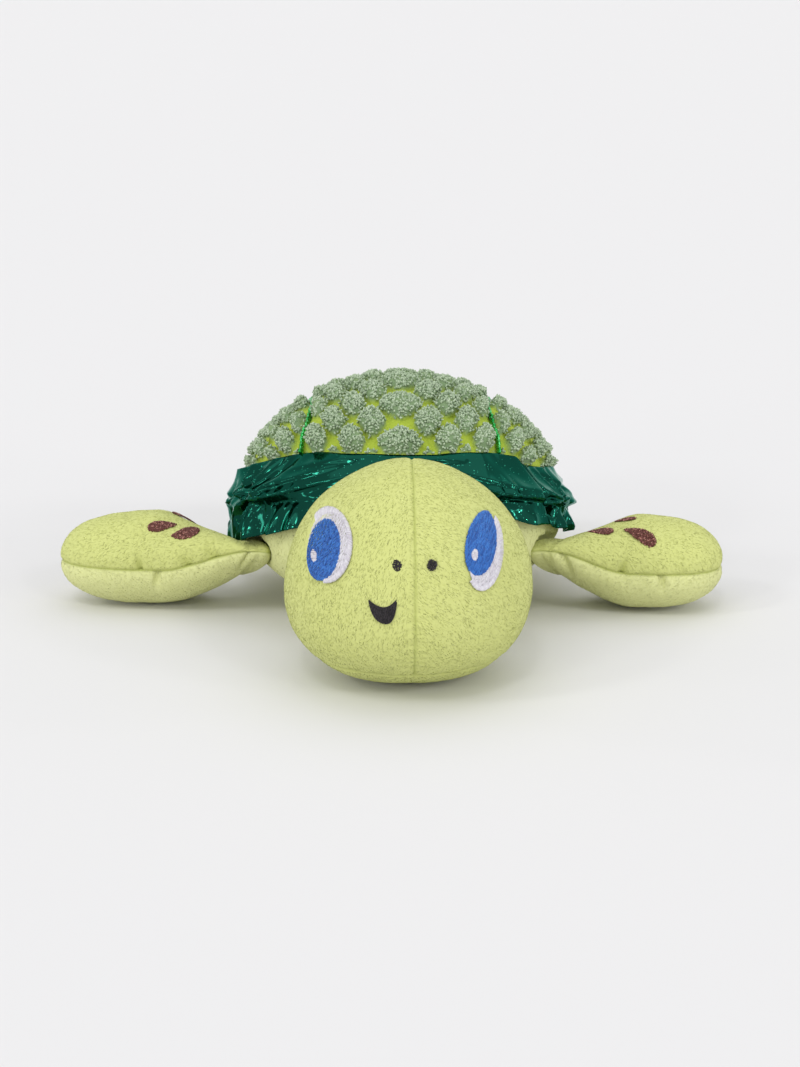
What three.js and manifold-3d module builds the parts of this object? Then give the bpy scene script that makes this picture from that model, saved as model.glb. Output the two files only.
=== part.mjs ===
// Plush turtle with a nubbed cloth shell, a gathered foil band, a nodding head and four flippers.
// Millimetres, +Z up. The toy looks along -Y, and its own left side is at +X.
import * as THREE from 'three';
import Module from 'manifold-3d';
import { mergeVertices } from 'three/addons/utils/BufferGeometryUtils.js';

const wasm = await Module();
wasm.setup();

// Cloth, seams and clearances
const skin = 1.6;
const seamGap = 0.3;
const fillGap = 0.3;
const jointGap = 0.5;
const flatDepth = 0.5;
const overrun = 30;

// Body: a bun that is widest at its girth
const bodyHalfWidth = 61.5;
const bodyHalfLength = 72.5;
const bodyCentreY = 24.5;
const girthZ = 31;
const crownRise = 50;
const bodyRings = 14;
const bodySides = 26;

// Shell rim, where the shell is sewn to the belly: it arches over the neck
const rimSideZ = 36;
const rimFrontZ = 54;
const rimCurveShare = 1.3;

// Shell seams and the metallic piping in them
const seamMidX = 33;
const seamRimX = 36;
const seamReachY = 30;
const seamSteps = 12;
const pipingWidth = 2;
const pipingRise = 1;

// Nubs of the shell cloth, on a diamond lattice whose rows bend back down the sides
const nubPitchAcross = 7.3;
const nubPitchAlong = 26;
const nubFirstAlong = -1;
const nubMiddleGap = 3;
const nubRowBend = 45;
const nubBendPower = 1.6;
const nubHalfWidth = 5.4;
const nubHalfWidthMiddle = 7.8;
const nubHalfLength = 8;
const nubHeight = 4.6;
const nubRoot = 1.2;
const nubSides = 6;
const nubRowsEachWay = 5;
const nubColumnsEachWay = 12;
const nubShoulderShares = [0.9, 0.62];

// Foil band round the rim
const bandRise = 12;
const bandDrop = 11;
const foilThickness = 1.2;
const bandClearance = 0.4;
const bandPuff = 2.2;
const bandTautPuff = 1;
const hemFlare = 4;
const pleatDepth = 1.5;
const pleatsRound = 28;
const bandStations = 84;
const bandSteps = 4;
const bandRightEnd = THREE.MathUtils.degToRad(-34);
const bandLeftEnd = THREE.MathUtils.degToRad(-172);
const bandRearEnd = THREE.MathUtils.degToRad(90);

// Head: an egg with its broad end down, drawn in to a neck
const headX = 2.8;
const headCentreY = -77;
const headSeatZ = 32;
const headHalfWidth = 42.6;
const headFrontDepth = 48;
const headBackDepth = 36;
const headRise = 43.5;
const headTopShare = 1.88;
const headBaseShare = 2.25;
const neckShare = 0.56;
const neckTail = 24;
const headRings = 14;
const headSides = 22;
const chinSeamZ = 10;
const faceTurn = THREE.MathUtils.degToRad(1.2);

// Neck hinge: the back of the head rides on a round face of this radius
const neckHingeY = -16;
const neckHingeZ = 36;
const neckRadius = 26;
const neckSides = 48;
const openingSides = 24;
const neckRoom = 4;
const nodRoom = 5.2;

// Front flippers
const frontHingeX = 61;
const frontHingeY = 8;
const frontHingeZ = 17.5;
const frontFlipper = {
  rootRadius: 7, rootFront: 28, rootBack: 9, thick: 17.7, front: 20, back: 27,
  lowStart: 3, lowReach: 30, topReach: 34,
};
const frontReachLeft = 62.2;
const frontReachRight = 68.7;
const frontSweepLeft = -11;
const frontSweepRight = 0;
const frontLeanShareLeft = 0.22;
const frontLeanShareRight = 0.4;
const frontLiftShare = 0.34;

// Rear flippers
const rearHingeX = 31.5;
const rearHingeY = 83.5;
const rearHingeZ = 14;
const rearReach = 44;
const rearHeading = 50;
const rearFlipper = {
  rootRadius: 5.5, rootFront: 11, rootBack: 11, thick: 13.8, front: 17, back: 17,
  lowStart: 5.5, lowReach: 26, topReach: 27,
};
const flipperSwellShare = 0.85;
const flipperTipPower = 5;
const rootBlend = 22;
const flapRoom = 2.5;
const flipperRings = 10;
const flipperSides = 12;

// Each filling is a coarser form, inside its panels
const fillDetail = { rings: 8, sides: 10 };
const bodyFillDetail = { rings: 10, sides: 20 };
const headFillDetail = { rings: headRings, sides: 20 };
const rootDetail = { rings: 8, sides: 16 };

// Embroidery: a raised patch, a little clear of the cloth and of the next colour
const stitchRise = 0.9;
const stitchGap = 0.3;
const patchSides = 15;
const smileSteps = 5;

// Eyes, as sheared ovals seen from the front: middle, half width and the rise of its end,
// half height and the shift of its top
const eyes = {
  left: {
    white: { x: 27.7, z: 50.9, halfWidth: 6, endRise: -1.5, halfHeight: 10.2, topShift: 1.4 },
    iris: { x: 26.3, z: 53.8, halfWidth: 5.1, endRise: -1.2, halfHeight: 8.3, topShift: 1.4 },
    highlight: { x: 24.1, z: 51.6, halfWidth: 1.1, endRise: 0, halfHeight: 1.6, topShift: 0 },
  },
  right: {
    white: { x: -23.4, z: 52.5, halfWidth: 7.9, endRise: 1.9, halfHeight: 10.2, topShift: 0.6 },
    iris: { x: -24.9, z: 51.1, halfWidth: 5.6, endRise: 1.7, halfHeight: 8.6, topShift: 0.9 },
    highlight: { x: -28.1, z: 48.9, halfWidth: 1.1, endRise: 0, halfHeight: 1.6, topShift: 0 },
  },
};
const nostrils = {
  left: { x: 10.3, z: 50.4, halfWidth: 1.6, endRise: 0, halfHeight: 1.7, topShift: 0 },
  right: { x: -1, z: 50.3, halfWidth: 1.6, endRise: 0, halfHeight: 1.7, topShift: 0 },
};
const smile = {
  leftX: -1, leftZ: 40.3, rightX: -10, rightZ: 39.4, dipX: -5.2, dipZ: 37, lowX: -4.5, lowZ: 32.4,
};

// Spots of each front flipper: how far out and ahead of the hinge, half length and half width
const spots = {
  left: [
    { out: 32, ahead: 12.3, length: 6.2, width: 3.3 },
    { out: 16.8, ahead: 10, length: 4.8, width: 2.8 },
    { out: 25.8, ahead: 3.2, length: 4.6, width: 2.8 },
  ],
  right: [
    { out: 29.9, ahead: 9.3, length: 5.6, width: 2.8 },
    { out: 20.1, ahead: 12.4, length: 5.3, width: 2.9, towardsTip: true },
    { out: 21.5, ahead: -1.5, length: 4.6, width: 2.8 },
  ],
};

// Finishes
const finish = (color, roughness, metalness = 0) => ({ color, roughness, metalness });
const velboa = finish(0xc8d676, 0.95);
const velboaBelly = finish(0xd2dd8f, 0.95);
const nubCloth = finish(0x9cb08f, 0.98);
const piping = finish(0x2fa04a, 0.35, 0.6);
const foil = finish(0x0f6a55, 0.22, 0.9);
const fibre = finish(0xf2f2ee, 1);
const brownThread = finish(0x6b3a2e, 0.8);
const whiteThread = finish(0xe2dfe8, 0.7);
const blueThread = finish(0x2f6cba, 0.6);
const blackThread = finish(0x25201f, 0.7);

// Solids

function solidFrom(geometry) {
  geometry.deleteAttribute('normal');
  geometry.deleteAttribute('uv');
  const merged = mergeVertices(geometry, 1e-3);
  return new wasm.Manifold(new wasm.Mesh({
    numProp: 3,
    vertProperties: new Float32Array(merged.attributes.position.array),
    triVerts: new Uint32Array(merged.index.array),
  }));
}

// A closed form whose point(u, v) runs from a pole at u = 0 to a pole at u = 1
function closedForm(point, rings, sides) {
  const places = [point(0, 0)];
  for (let ring = 1; ring < rings; ring++) {
    for (let side = 0; side < sides; side++) places.push(point(ring / rings, side / sides));
  }
  places.push(point(1, 0));
  const last = places.length - 1;
  const at = (ring, side) => 1 + (ring - 1) * sides + (side % sides);
  const index = [];
  for (let side = 0; side < sides; side++) {
    index.push(0, at(1, side), at(1, side + 1));
    for (let ring = 1; ring < rings - 1; ring++) {
      index.push(at(ring, side), at(ring + 1, side), at(ring + 1, side + 1));
      index.push(at(ring, side), at(ring + 1, side + 1), at(ring, side + 1));
    }
    index.push(at(rings - 1, side), last, at(rings - 1, side + 1));
  }
  return orientedSolid(places, index);
}

// A closed solid from points and triangles, turned so that its faces point out
function orientedSolid(places, index) {
  let volume = 0;
  for (let i = 0; i < index.length; i += 3) {
    const [a, b, c] = [places[index[i]], places[index[i + 1]], places[index[i + 2]]];
    volume += a.dot(b.clone().cross(c));
  }
  const geometry = new THREE.BufferGeometry().setFromPoints(places);
  geometry.setIndex(volume > 0 ? index : index.slice().reverse());
  return solidFrom(geometry);
}

function block(minimum, maximum) {
  const size = maximum.clone().sub(minimum);
  const middle = maximum.clone().add(minimum).multiplyScalar(1 / 2);
  return solidFrom(new THREE.BoxGeometry(size.x, size.y, size.z).translate(middle.x, middle.y, middle.z));
}

// A cylinder lying along X
function crossCylinder(radius, halfLength, y, z) {
  const barrel = new THREE.CylinderGeometry(radius, radius, 2 * halfLength, neckSides);
  return solidFrom(barrel.rotateZ(Math.PI / 2).translate(headX, y, z));
}

// An outline in the XY plane drawn up from low to high
function prism(points, low, high) {
  const shape = new THREE.Shape(points);
  const geometry = new THREE.ExtrudeGeometry(shape, { depth: high - low, bevelEnabled: false });
  return solidFrom(geometry.translate(0, 0, low));
}

// An outline in the XZ plane drawn from a near y to a far y
function frontPrism(points, near, far) {
  const shape = new THREE.Shape(points);
  const geometry = new THREE.ExtrudeGeometry(shape, { depth: far - near, bevelEnabled: false });
  return solidFrom(geometry.rotateX(Math.PI / 2).translate(0, far, 0));
}

// The outline of an oval, grown by an amount
function oval(shape, grow, sides = patchSides) {
  return Array.from({ length: sides }, (unused, i) => {
    const [across, up] = [Math.cos(2 * Math.PI * i / sides), Math.sin(2 * Math.PI * i / sides)];
    return new THREE.Vector2(
      shape.x + across * (shape.halfWidth + grow) + up * shape.topShift,
      shape.z + up * (shape.halfHeight + grow) + across * shape.endRise,
    );
  });
}

function joined(solids) {
  return solids.reduce((sum, next) => sum.add(next));
}

// The largest body of a solid, without what a cut left loose
function largest(solid) {
  return solid.decompose().reduce((best, next) => (next.volume() > best.volume() ? next : best));
}

function mesh(name, solid, look) {
  const data = solid.getMesh();
  const geometry = new THREE.BufferGeometry();
  geometry.setAttribute('position', new THREE.Float32BufferAttribute(data.vertProperties, 3));
  geometry.setIndex(Array.from(data.triVerts));
  const result = new THREE.Mesh(geometry, new THREE.MeshStandardMaterial(look));
  result.name = name;
  return result;
}

const reach = 2 * (bodyHalfLength + headFrontDepth + headBackDepth);
const floorBlock = block(new THREE.Vector3(-reach, -reach, -overrun), new THREE.Vector3(reach, reach, 0));

// Body form

// The point of the body form at a height and an angle round it, grown outwards by an amount
function bodyAt(z, angle, grow) {
  const half = (z > girthZ ? crownRise : girthZ + flatDepth) + grow;
  const level = Math.min(1, Math.abs(z - girthZ) / half);
  const plan = Math.sqrt(1 - level * level);
  return new THREE.Vector3(
    (bodyHalfWidth + grow) * plan * Math.cos(angle),
    bodyCentreY + (bodyHalfLength + grow) * plan * Math.sin(angle),
    z,
  );
}

function bodyForm(grow, detail = { rings: bodyRings, sides: bodySides }) {
  return closedForm((u, v) => {
    const rise = -Math.cos(Math.PI * u);
    const half = (rise > 0 ? crownRise : girthZ + flatDepth) + grow;
    return bodyAt(girthZ + half * rise, 2 * Math.PI * v, grow);
  }, detail.rings, detail.sides);
}

function rimHeight(angle) {
  const forward = Math.max(0, -Math.sin(angle));
  return rimSideZ + (rimFrontZ - rimSideZ) * Math.sin((Math.PI / 2) * forward) ** rimCurveShare;
}

// Everything above the rim, which is lifted by an offset
function aboveRim(offset) {
  const inner = seamRimX / 2;
  const squeeze = bodyHalfWidth / bodyHalfLength;
  const top = girthZ + crownRise + overrun;
  const rings = [
    (angle) => [inner, rimHeight(angle) + offset],
    (angle) => [bodyHalfLength, rimHeight(angle) + offset],
    (angle) => [reach, rimHeight(angle) + offset],
    (angle) => [reach, top],
  ];
  return closedForm((u, v) => {
    const angle = 2 * Math.PI * v;
    if (u === 0) return new THREE.Vector3(0, bodyCentreY, (rimSideZ + rimFrontZ) / 2 + offset);
    if (u === 1) return new THREE.Vector3(0, bodyCentreY, top);
    const [radius, z] = rings[Math.round(u * (rings.length + 1)) - 1](angle);
    const across = radius * squeeze * Math.cos(angle);
    return new THREE.Vector3(across, bodyCentreY + radius * Math.sin(angle), z);
  }, rings.length + 1, bandStations);
}

// Head form

// A sine or cosine bent so that its outline is squarer than an ellipse
function squared(value, corner) {
  return Math.sign(value) * Math.abs(value) ** (2 / corner);
}

// Share of the full head section at a distance behind the widest place
function headTaper(back) {
  if (back > headBackDepth) return neckShare;
  return neckShare + (1 - neckShare) * Math.cos((Math.PI / 2) * (back / headBackDepth));
}

function headForm(grow, detail = { rings: headRings, sides: headSides }) {
  const front = headFrontDepth + grow;
  const tail = headBackDepth + neckTail;
  return closedForm((u, v) => {
    const angle = 2 * Math.PI * v;
    const turn = Math.PI * u;
    const ahead = turn < Math.PI / 2;
    const share = ahead ? Math.sin(turn) : headTaper(-Math.cos(turn) * tail);
    const capped = u === 1 ? 0 : share;
    const up = Math.sin(angle) > 0;
    const corner = up ? headTopShare : headBaseShare;
    const half = (up ? headRise : headSeatZ + flatDepth) + grow;
    return new THREE.Vector3(
      headX + squared(Math.cos(angle), corner) * (headHalfWidth + grow) * capped,
      headCentreY - Math.cos(turn) * (ahead ? front : tail),
      headSeatZ + squared(Math.sin(angle), corner) * half * capped,
    );
  }, detail.rings, detail.sides);
}

// The opening that the neck needs in the front of the body
function neckOpening(grow) {
  const halfWidth = neckShare * headHalfWidth + neckRoom + grow;
  const top = neckShare * headRise + nodRoom + grow;
  const bottom = neckShare * headSeatZ + nodRoom + grow;
  const outline = Array.from({ length: openingSides }, (unused, i) => {
    const angle = 2 * Math.PI * i / openingSides;
    return new THREE.Vector2(headX + squared(Math.cos(angle), headBaseShare) * halfWidth,
      headSeatZ + squared(Math.sin(angle), headBaseShare) * (Math.sin(angle) > 0 ? top : bottom));
  });
  return frontPrism(outline, headCentreY - headFrontDepth, neckHingeY);
}

// Flipper form, in its own frame: the hinge at the origin, its length along +X

// Ahead of its hinge a root lies further in and higher, along the side of the body
function leant(place, spec) {
  const ahead = -spec.side * place.y;
  const free = Math.min(1, Math.max(0, place.x - spec.kind.rootRadius) / rootBlend);
  const held = ahead * Math.cos((Math.PI / 2) * free) ** 2;
  return new THREE.Vector3(place.x - spec.lean * held, place.y, place.z + spec.lift * held);
}

function swellAt(along, start, end) {
  const share = Math.min(1, Math.max(0, along - start) / (end - start));
  return Math.sin((Math.PI / 2) * share) ** flipperSwellShare;
}

function flipperForm(spec, grow, detail = { rings: flipperRings, sides: flipperSides }) {
  const { kind, side, reach: flipperReach } = spec;
  const { rootRadius, rootFront, rootBack, thick, front, back, lowStart, lowReach, topReach } = kind;
  const length = flipperReach + rootRadius;
  return closedForm((u, v) => {
    const along = -rootRadius - grow + (length + 2 * grow) * (1 - Math.cos(Math.PI * u)) / 2;
    const angle = 2 * Math.PI * v;
    const ahead = Math.cos(angle) < 0;
    const spread = swellAt(along, rootRadius, topReach);
    const swell = Math.sin(angle) > 0 ? spread : swellAt(along, lowStart, lowReach);
    const inward = Math.min(1, Math.max(0, -along / (rootRadius + grow)));
    const tip = Math.min(1, Math.max(0, along) / (flipperReach + grow)) ** flipperTipPower;
    const round = Math.sqrt(Math.max(0, 1 - inward * inward)) * Math.sqrt(Math.max(0, 1 - tip));
    const rootHalf = ahead ? rootFront : rootBack;
    const fullHalf = ahead ? front : back;
    return leant(new THREE.Vector3(
      along,
      side * Math.cos(angle) * (rootHalf + (fullHalf - rootHalf) * spread + grow) * round,
      Math.sin(angle) * (rootRadius + (thick - rootRadius) * swell + grow) * round,
    ), spec);
  }, detail.rings, detail.sides);
}

function flipperSpec(name, kind, side, place, heading, flipperReach, root, spotList) {
  const hinge = new THREE.Vector3(side * place.x, place.y, place.z);
  const facing = side > 0 ? heading : 180 - heading;
  return { name, kind, side, hinge, heading: facing, reach: flipperReach, ...root, spots: spotList };
}

const frontHinge = new THREE.Vector3(frontHingeX, frontHingeY, frontHingeZ);
const rearHinge = new THREE.Vector3(rearHingeX, rearHingeY, rearHingeZ);
const frontRootLeft = { lean: frontLeanShareLeft, lift: frontLiftShare };
const frontRootRight = { lean: frontLeanShareRight, lift: frontLiftShare };
const rearRoot = { lean: 0, lift: 0 };
const flippers = [
  flipperSpec('front_flipper_left', frontFlipper, 1, frontHinge, frontSweepLeft,
    frontReachLeft, frontRootLeft, spots.left),
  flipperSpec('front_flipper_right', frontFlipper, -1, frontHinge, frontSweepRight,
    frontReachRight, frontRootRight, spots.right),
  flipperSpec('rear_flipper_left', rearFlipper, 1, rearHinge, rearHeading, rearReach, rearRoot, []),
  flipperSpec('rear_flipper_right', rearFlipper, -1, rearHinge, rearHeading, rearReach, rearRoot, []),
];

function placed(solid, spec) {
  return solid.rotate([0, 0, spec.heading]).translate([spec.hinge.x, spec.hinge.y, spec.hinge.z]);
}

// The round socket that a flipper root turns in, with room above it for the flap
function rootSocket(spec, grow) {
  const { kind, side } = spec;
  const radius = kind.rootRadius + grow;
  return placed(closedForm((u, v) => {
    const angle = 2 * Math.PI * v;
    const ahead = Math.cos(Math.PI * u) > 0;
    const high = Math.sin(angle) > 0 ? radius + flapRoom : radius;
    return leant(new THREE.Vector3(
      radius * Math.sin(Math.PI * u) * Math.cos(angle),
      -side * Math.cos(Math.PI * u) * ((ahead ? kind.rootFront : kind.rootBack) + grow),
      high * Math.sin(Math.PI * u) * Math.sin(angle),
    ), spec);
  }, rootDetail.rings, rootDetail.sides), spec);
}

// Body: belly, shell, piping and band

// The body form with its neck face and its sockets cut, all set in by a depth
function bodyCut(depth, detail) {
  const face = crossCylinder(neckRadius - jointGap - depth, bodyHalfWidth, neckHingeY, neckHingeZ);
  const sockets = joined(flippers.map((spec) => rootSocket(spec, jointGap + depth)));
  return bodyForm(-depth, detail).subtract(neckOpening(depth).subtract(face)).subtract(sockets)
    .subtract(floorBlock.translate([0, 0, depth]));
}

function bodyParts() {
  const hide = bodyCut(0).subtract(bodyCut(skin, bodyFillDetail));
  return [
    mesh('belly_panel', hide.subtract(aboveRim(-seamGap / 2)), velboaBelly),
    mesh('body_stuffing', bodyCut(skin + fillGap, bodyFillDetail), fibre),
    ...shellParts(hide.intersect(aboveRim(seamGap / 2))),
  ];
}

// Distance of a shell seam from the middle, at a place along the body
function seamX(y) {
  const share = (y - bodyCentreY) / seamReachY;
  return seamMidX + (seamRimX - seamMidX) * Math.min(1, share * share);
}

// The strip of plan between two lines that run along the body, each given by its x at a place
function planBetween(firstX, secondX) {
  const near = bodyCentreY - bodyHalfLength - overrun;
  const far = bodyCentreY + bodyHalfLength + overrun;
  const places = Array.from({ length: seamSteps + 1 }, (unused, i) => near + (far - near) * (i / seamSteps));
  const out = places.map((y) => new THREE.Vector2(firstX(y), y));
  const back = places.slice().reverse().map((y) => new THREE.Vector2(secondX(y), y));
  return prism([...out, ...back], 0, girthZ + crownRise + overrun);
}

// The strip between two offsets from the shell seam of one side
function seamStrip(side, from, to) {
  return planBetween((y) => side * (seamX(y) + from), (y) => side * (seamX(y) + to));
}

// The strip between the two shell seams, widened by an offset
function middleStrip(offset) {
  return planBetween((y) => -seamX(y) - offset, (y) => seamX(y) + offset);
}

// A point over the crown, at a place given in cloth lengths and a height above the cloth
function overCrown(across, along, height) {
  const pitch = along / bodyHalfLength;
  const roll = across / (bodyHalfWidth * Math.cos(pitch));
  const place = new THREE.Vector3(
    bodyHalfWidth * Math.sin(roll) * Math.cos(pitch),
    bodyCentreY + bodyHalfLength * Math.sin(pitch),
    girthZ + crownRise * Math.cos(roll) * Math.cos(pitch),
  );
  const normal = new THREE.Vector3(
    place.x / bodyHalfWidth ** 2, (place.y - bodyCentreY) / bodyHalfLength ** 2,
    (place.z - girthZ) / crownRise ** 2,
  ).normalize();
  return place.addScaledVector(normal, height);
}

// How far back the rows of nubs have bent, at a distance from the middle
function rowBend(across) {
  return nubRowBend * (Math.abs(across) / bodyHalfWidth) ** nubBendPower;
}

// A nub: a low rounded tuft standing on the shell, at a place across and along the straight rows
function nub(across, row, halfWidth) {
  const [waistShare, topShare] = nubShoulderShares;
  const profile = [
    new THREE.Vector2(0, -nubRoot),
    new THREE.Vector2(waistShare, -nubRoot),
    new THREE.Vector2(1, nubHeight * (1 - topShare)),
    new THREE.Vector2(topShare, nubHeight * waistShare),
    new THREE.Vector2(0, nubHeight),
  ];
  const tuft = new THREE.LatheGeometry(profile, nubSides);
  const { position } = tuft.attributes;
  for (let i = 0; i < position.count; i++) {
    const out = across + halfWidth * position.getX(i);
    const along = row - nubHalfLength * position.getZ(i) + rowBend(out);
    const point = overCrown(out, along, position.getY(i));
    position.setXYZ(i, point.x, point.y, point.z);
  }
  return solidFrom(tuft);
}

function nubsOfShell() {
  const nubs = [];
  const quarter = Math.PI / 2;
  for (let column = -nubColumnsEachWay; column <= nubColumnsEachWay; column++) {
    const across = column * nubPitchAcross + Math.sign(column) * nubMiddleGap;
    const halfWidth = column === 0 ? nubHalfWidthMiddle : nubHalfWidth;
    const stagger = column % 2 === 0 ? 0 : nubPitchAlong / 2;
    for (let step = -nubRowsEachWay; step <= nubRowsEachWay; step++) {
      const row = nubFirstAlong + step * nubPitchAlong + stagger;
      const along = row + rowBend(across);
      if (Math.abs(along) + nubHalfLength > bodyHalfLength * quarter) continue;
      const reach = bodyHalfWidth * Math.cos((Math.abs(along) + nubHalfLength) / bodyHalfLength) * quarter;
      if (Math.abs(across) + halfWidth > reach) continue;
      const place = overCrown(across, along, 0);
      const angle = Math.atan2((place.y - bodyCentreY) / bodyHalfLength, place.x / bodyHalfWidth);
      if (place.z > rimHeight(angle) + bandRise - nubHeight / 2) nubs.push(nub(across, row, halfWidth));
    }
  }
  return joined(nubs);
}

function shellParts(shell) {
  const half = pipingWidth / 2;
  const edge = half + seamGap;
  const cloth = shell.add(nubsOfShell().intersect(aboveRim(bandRise + 2 * seamGap)));
  const panel = (name, strip) => mesh(name, largest(cloth.intersect(strip)), nubCloth);
  const pipingSkin = bodyForm(pipingRise).subtract(bodyForm(-skin, bodyFillDetail))
    .intersect(aboveRim(bandRise + seamGap));
  const cord = (side) => largest(pipingSkin.intersect(seamStrip(side, -half, half)));
  const pipe = (name, side) => mesh(name, cord(side), piping);
  return [
    panel('shell_centre_panel', middleStrip(-edge)),
    panel('shell_left_panel', seamStrip(1, edge, reach)),
    panel('shell_right_panel', seamStrip(-1, edge, reach)),
    pipe('shell_piping_left', 1),
    pipe('shell_piping_right', -1),
    ...bandParts(),
  ];
}

// How strongly the band is gathered at an angle: loose over the neck, scrunched elsewhere
function gatherAt(angle) {
  const forward = Math.max(0, -Math.sin(angle));
  return 1 - Math.sin((Math.PI / 2) * forward) ** 2;
}

// How far the band stands off the body, at an angle and a share of its width from the top
function bandLift(angle, share) {
  const gather = gatherAt(angle);
  const wave = Math.cos(pleatsRound * angle);
  if (share <= 1 / 2) {
    const puff = bandTautPuff + (bandPuff - bandTautPuff) * gather;
    return puff * Math.sin(2 * Math.PI * share);
  }
  const open = (2 * share - 1);
  return open * (bandTautPuff + (hemFlare - bandTautPuff + pleatDepth * wave) * gather);
}

function bandForm(from, to) {
  const stations = Math.max(2, Math.round(bandStations * (to - from) / (2 * Math.PI)));
  const places = [];
  const ring = 2 * (bandSteps + 1);
  for (let i = 0; i <= stations; i++) {
    const angle = from + (to - from) * (i / stations);
    const top = rimHeight(angle) + bandRise;
    const hem = rimHeight(angle) - bandDrop;
    const side = (share, out) => {
      const z = top + (hem - top) * share;
      return bodyAt(z, angle, bandClearance + bandLift(angle, share) + out);
    };
    for (let k = 0; k <= bandSteps; k++) places.push(side(k / bandSteps, foilThickness));
    for (let k = bandSteps; k >= 0; k--) places.push(side(k / bandSteps, 0));
  }
  const index = [];
  for (let i = 0; i < stations; i++) {
    for (let k = 0; k < ring; k++) {
      const [a, b] = [i * ring + k, i * ring + (k + 1) % ring];
      index.push(a, b, b + ring, a, b + ring, a + ring);
    }
  }
  for (const [start, flip] of [[0, true], [stations * ring, false]]) {
    for (let k = 0; k < bandSteps; k++) {
      const [a, b, c, d] = [start + k, start + k + 1, start + ring - 2 - k, start + ring - 1 - k];
      index.push(...(flip ? [a, c, b, a, d, c] : [a, b, c, a, c, d]));
    }
  }
  return orientedSolid(places, index);
}

function bandParts() {
  const joint = seamGap / bodyHalfWidth;
  const turn = 2 * Math.PI;
  const restingFlippers = flippers.map((spec) => placed(flipperForm(spec, jointGap), spec));
  const resting = joined([headForm(jointGap), ...restingFlippers]);
  const pieces = [
    ['foil_band_front', bandLeftEnd + joint, bandRightEnd - joint],
    ['foil_band_left', bandRightEnd, bandRearEnd - joint],
    ['foil_band_right', bandRearEnd, bandLeftEnd + turn],
  ];
  return pieces.map(([name, from, to]) => mesh(name, largest(bandForm(from, to).subtract(resting)), foil));
}

// Head: three panels, stuffing and embroidery

function headParts() {
  const saddle = crossCylinder(neckRadius, bodyHalfWidth, neckHingeY, neckHingeZ);
  const saddleSkin = crossCylinder(neckRadius + skin, bodyHalfWidth, neckHingeY, neckHingeZ);
  const saddleFill = crossCylinder(neckRadius + skin + fillGap, bodyHalfWidth, neckHingeY, neckHingeZ);
  const behind = block(
    new THREE.Vector3(-reach, neckHingeY, -reach), new THREE.Vector3(reach, reach, reach));
  const outer = headForm(0).subtract(saddle).subtract(behind).subtract(floorBlock);
  const inner = headForm(-skin, headFillDetail).subtract(saddleSkin).subtract(behind)
    .subtract(floorBlock.translate([0, 0, skin]));
  const filling = headForm(-skin - fillGap, headFillDetail).subtract(saddleFill).subtract(behind)
    .subtract(floorBlock.translate([0, 0, skin + fillGap]));
  const hide = outer.subtract(inner);
  const half = seamGap / 2;
  const turned = (solid) => solid.translate([-headX, -neckHingeY, 0])
    .rotate([0, 0, THREE.MathUtils.radToDeg(faceTurn)]).translate([headX, neckHingeY, 0]);
  const halfSpace = (side) => turned(side > 0
    ? block(new THREE.Vector3(headX + half, -reach, -reach), new THREE.Vector3(reach, reach, reach))
    : block(new THREE.Vector3(-reach, -reach, -reach), new THREE.Vector3(headX - half, reach, reach)));
  const upper = block(
    new THREE.Vector3(-reach, -reach, chinSeamZ + half), new THREE.Vector3(reach, reach, reach));
  const lower = block(
    new THREE.Vector3(-reach, -reach, -overrun), new THREE.Vector3(reach, reach, chinSeamZ - half));
  return [
    mesh('head_left_panel', hide.intersect(upper).intersect(halfSpace(1)), velboa),
    mesh('head_right_panel', hide.intersect(upper).intersect(halfSpace(-1)), velboa),
    mesh('chin_panel', hide.intersect(lower), velboa),
    mesh('head_stuffing', filling, fibre),
    ...faceParts(),
  ];
}

function faceParts() {
  const patch = headForm(stitchGap + stitchRise).subtract(headForm(stitchGap));
  const stitched = (name, outline, look, hole) => {
    const near = headCentreY - headFrontDepth - overrun;
    const whole = patch.intersect(frontPrism(outline, near, headCentreY));
    return mesh(name, largest(hole ? whole.subtract(frontPrism(hole, near, headCentreY)) : whole), look);
  };
  const eyeParts = Object.entries(eyes).flatMap(([side, eye]) => [
    stitched(`eye_white_${side}`, oval(eye.white, 0), whiteThread, oval(eye.iris, stitchGap)),
    stitched(`iris_${side}`, oval(eye.iris, 0), blueThread, oval(eye.highlight, stitchGap)),
    stitched(`eye_highlight_${side}`, oval(eye.highlight, 0), whiteThread),
  ]);
  const nostrilParts = Object.entries(nostrils).map(
    ([side, place]) => stitched(`nostril_${side}`, oval(place, 0), blackThread));
  return [...eyeParts, ...nostrilParts, stitched('mouth', smileOutline(), blackThread)];
}

function smileOutline() {
  const { leftX, leftZ, rightX, rightZ, dipX, dipZ, lowX, lowZ } = smile;
  const shape = new THREE.Shape();
  shape.moveTo(rightX, rightZ);
  shape.quadraticCurveTo(rightX, lowZ, lowX, lowZ);
  shape.quadraticCurveTo(leftX, lowZ, leftX, leftZ);
  shape.quadraticCurveTo(dipX, dipZ, rightX, rightZ);
  return shape.getPoints(smileSteps).slice(0, -1);
}

// Flippers

// A teardrop outline whose point looks back towards the hinge, unless it is set towards the tip
function teardrop(spot, side) {
  const sense = spot.towardsTip ? -1 : 1;
  return Array.from({ length: patchSides - 1 }, (unused, i) => {
    const turn = 2 * Math.PI * (i + 1) / patchSides;
    return new THREE.Vector2(
      spot.out - sense * spot.length * Math.cos(turn),
      side * (-spot.ahead + spot.width * Math.sin(turn) * Math.sin(turn / 2)),
    );
  });
}

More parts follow.
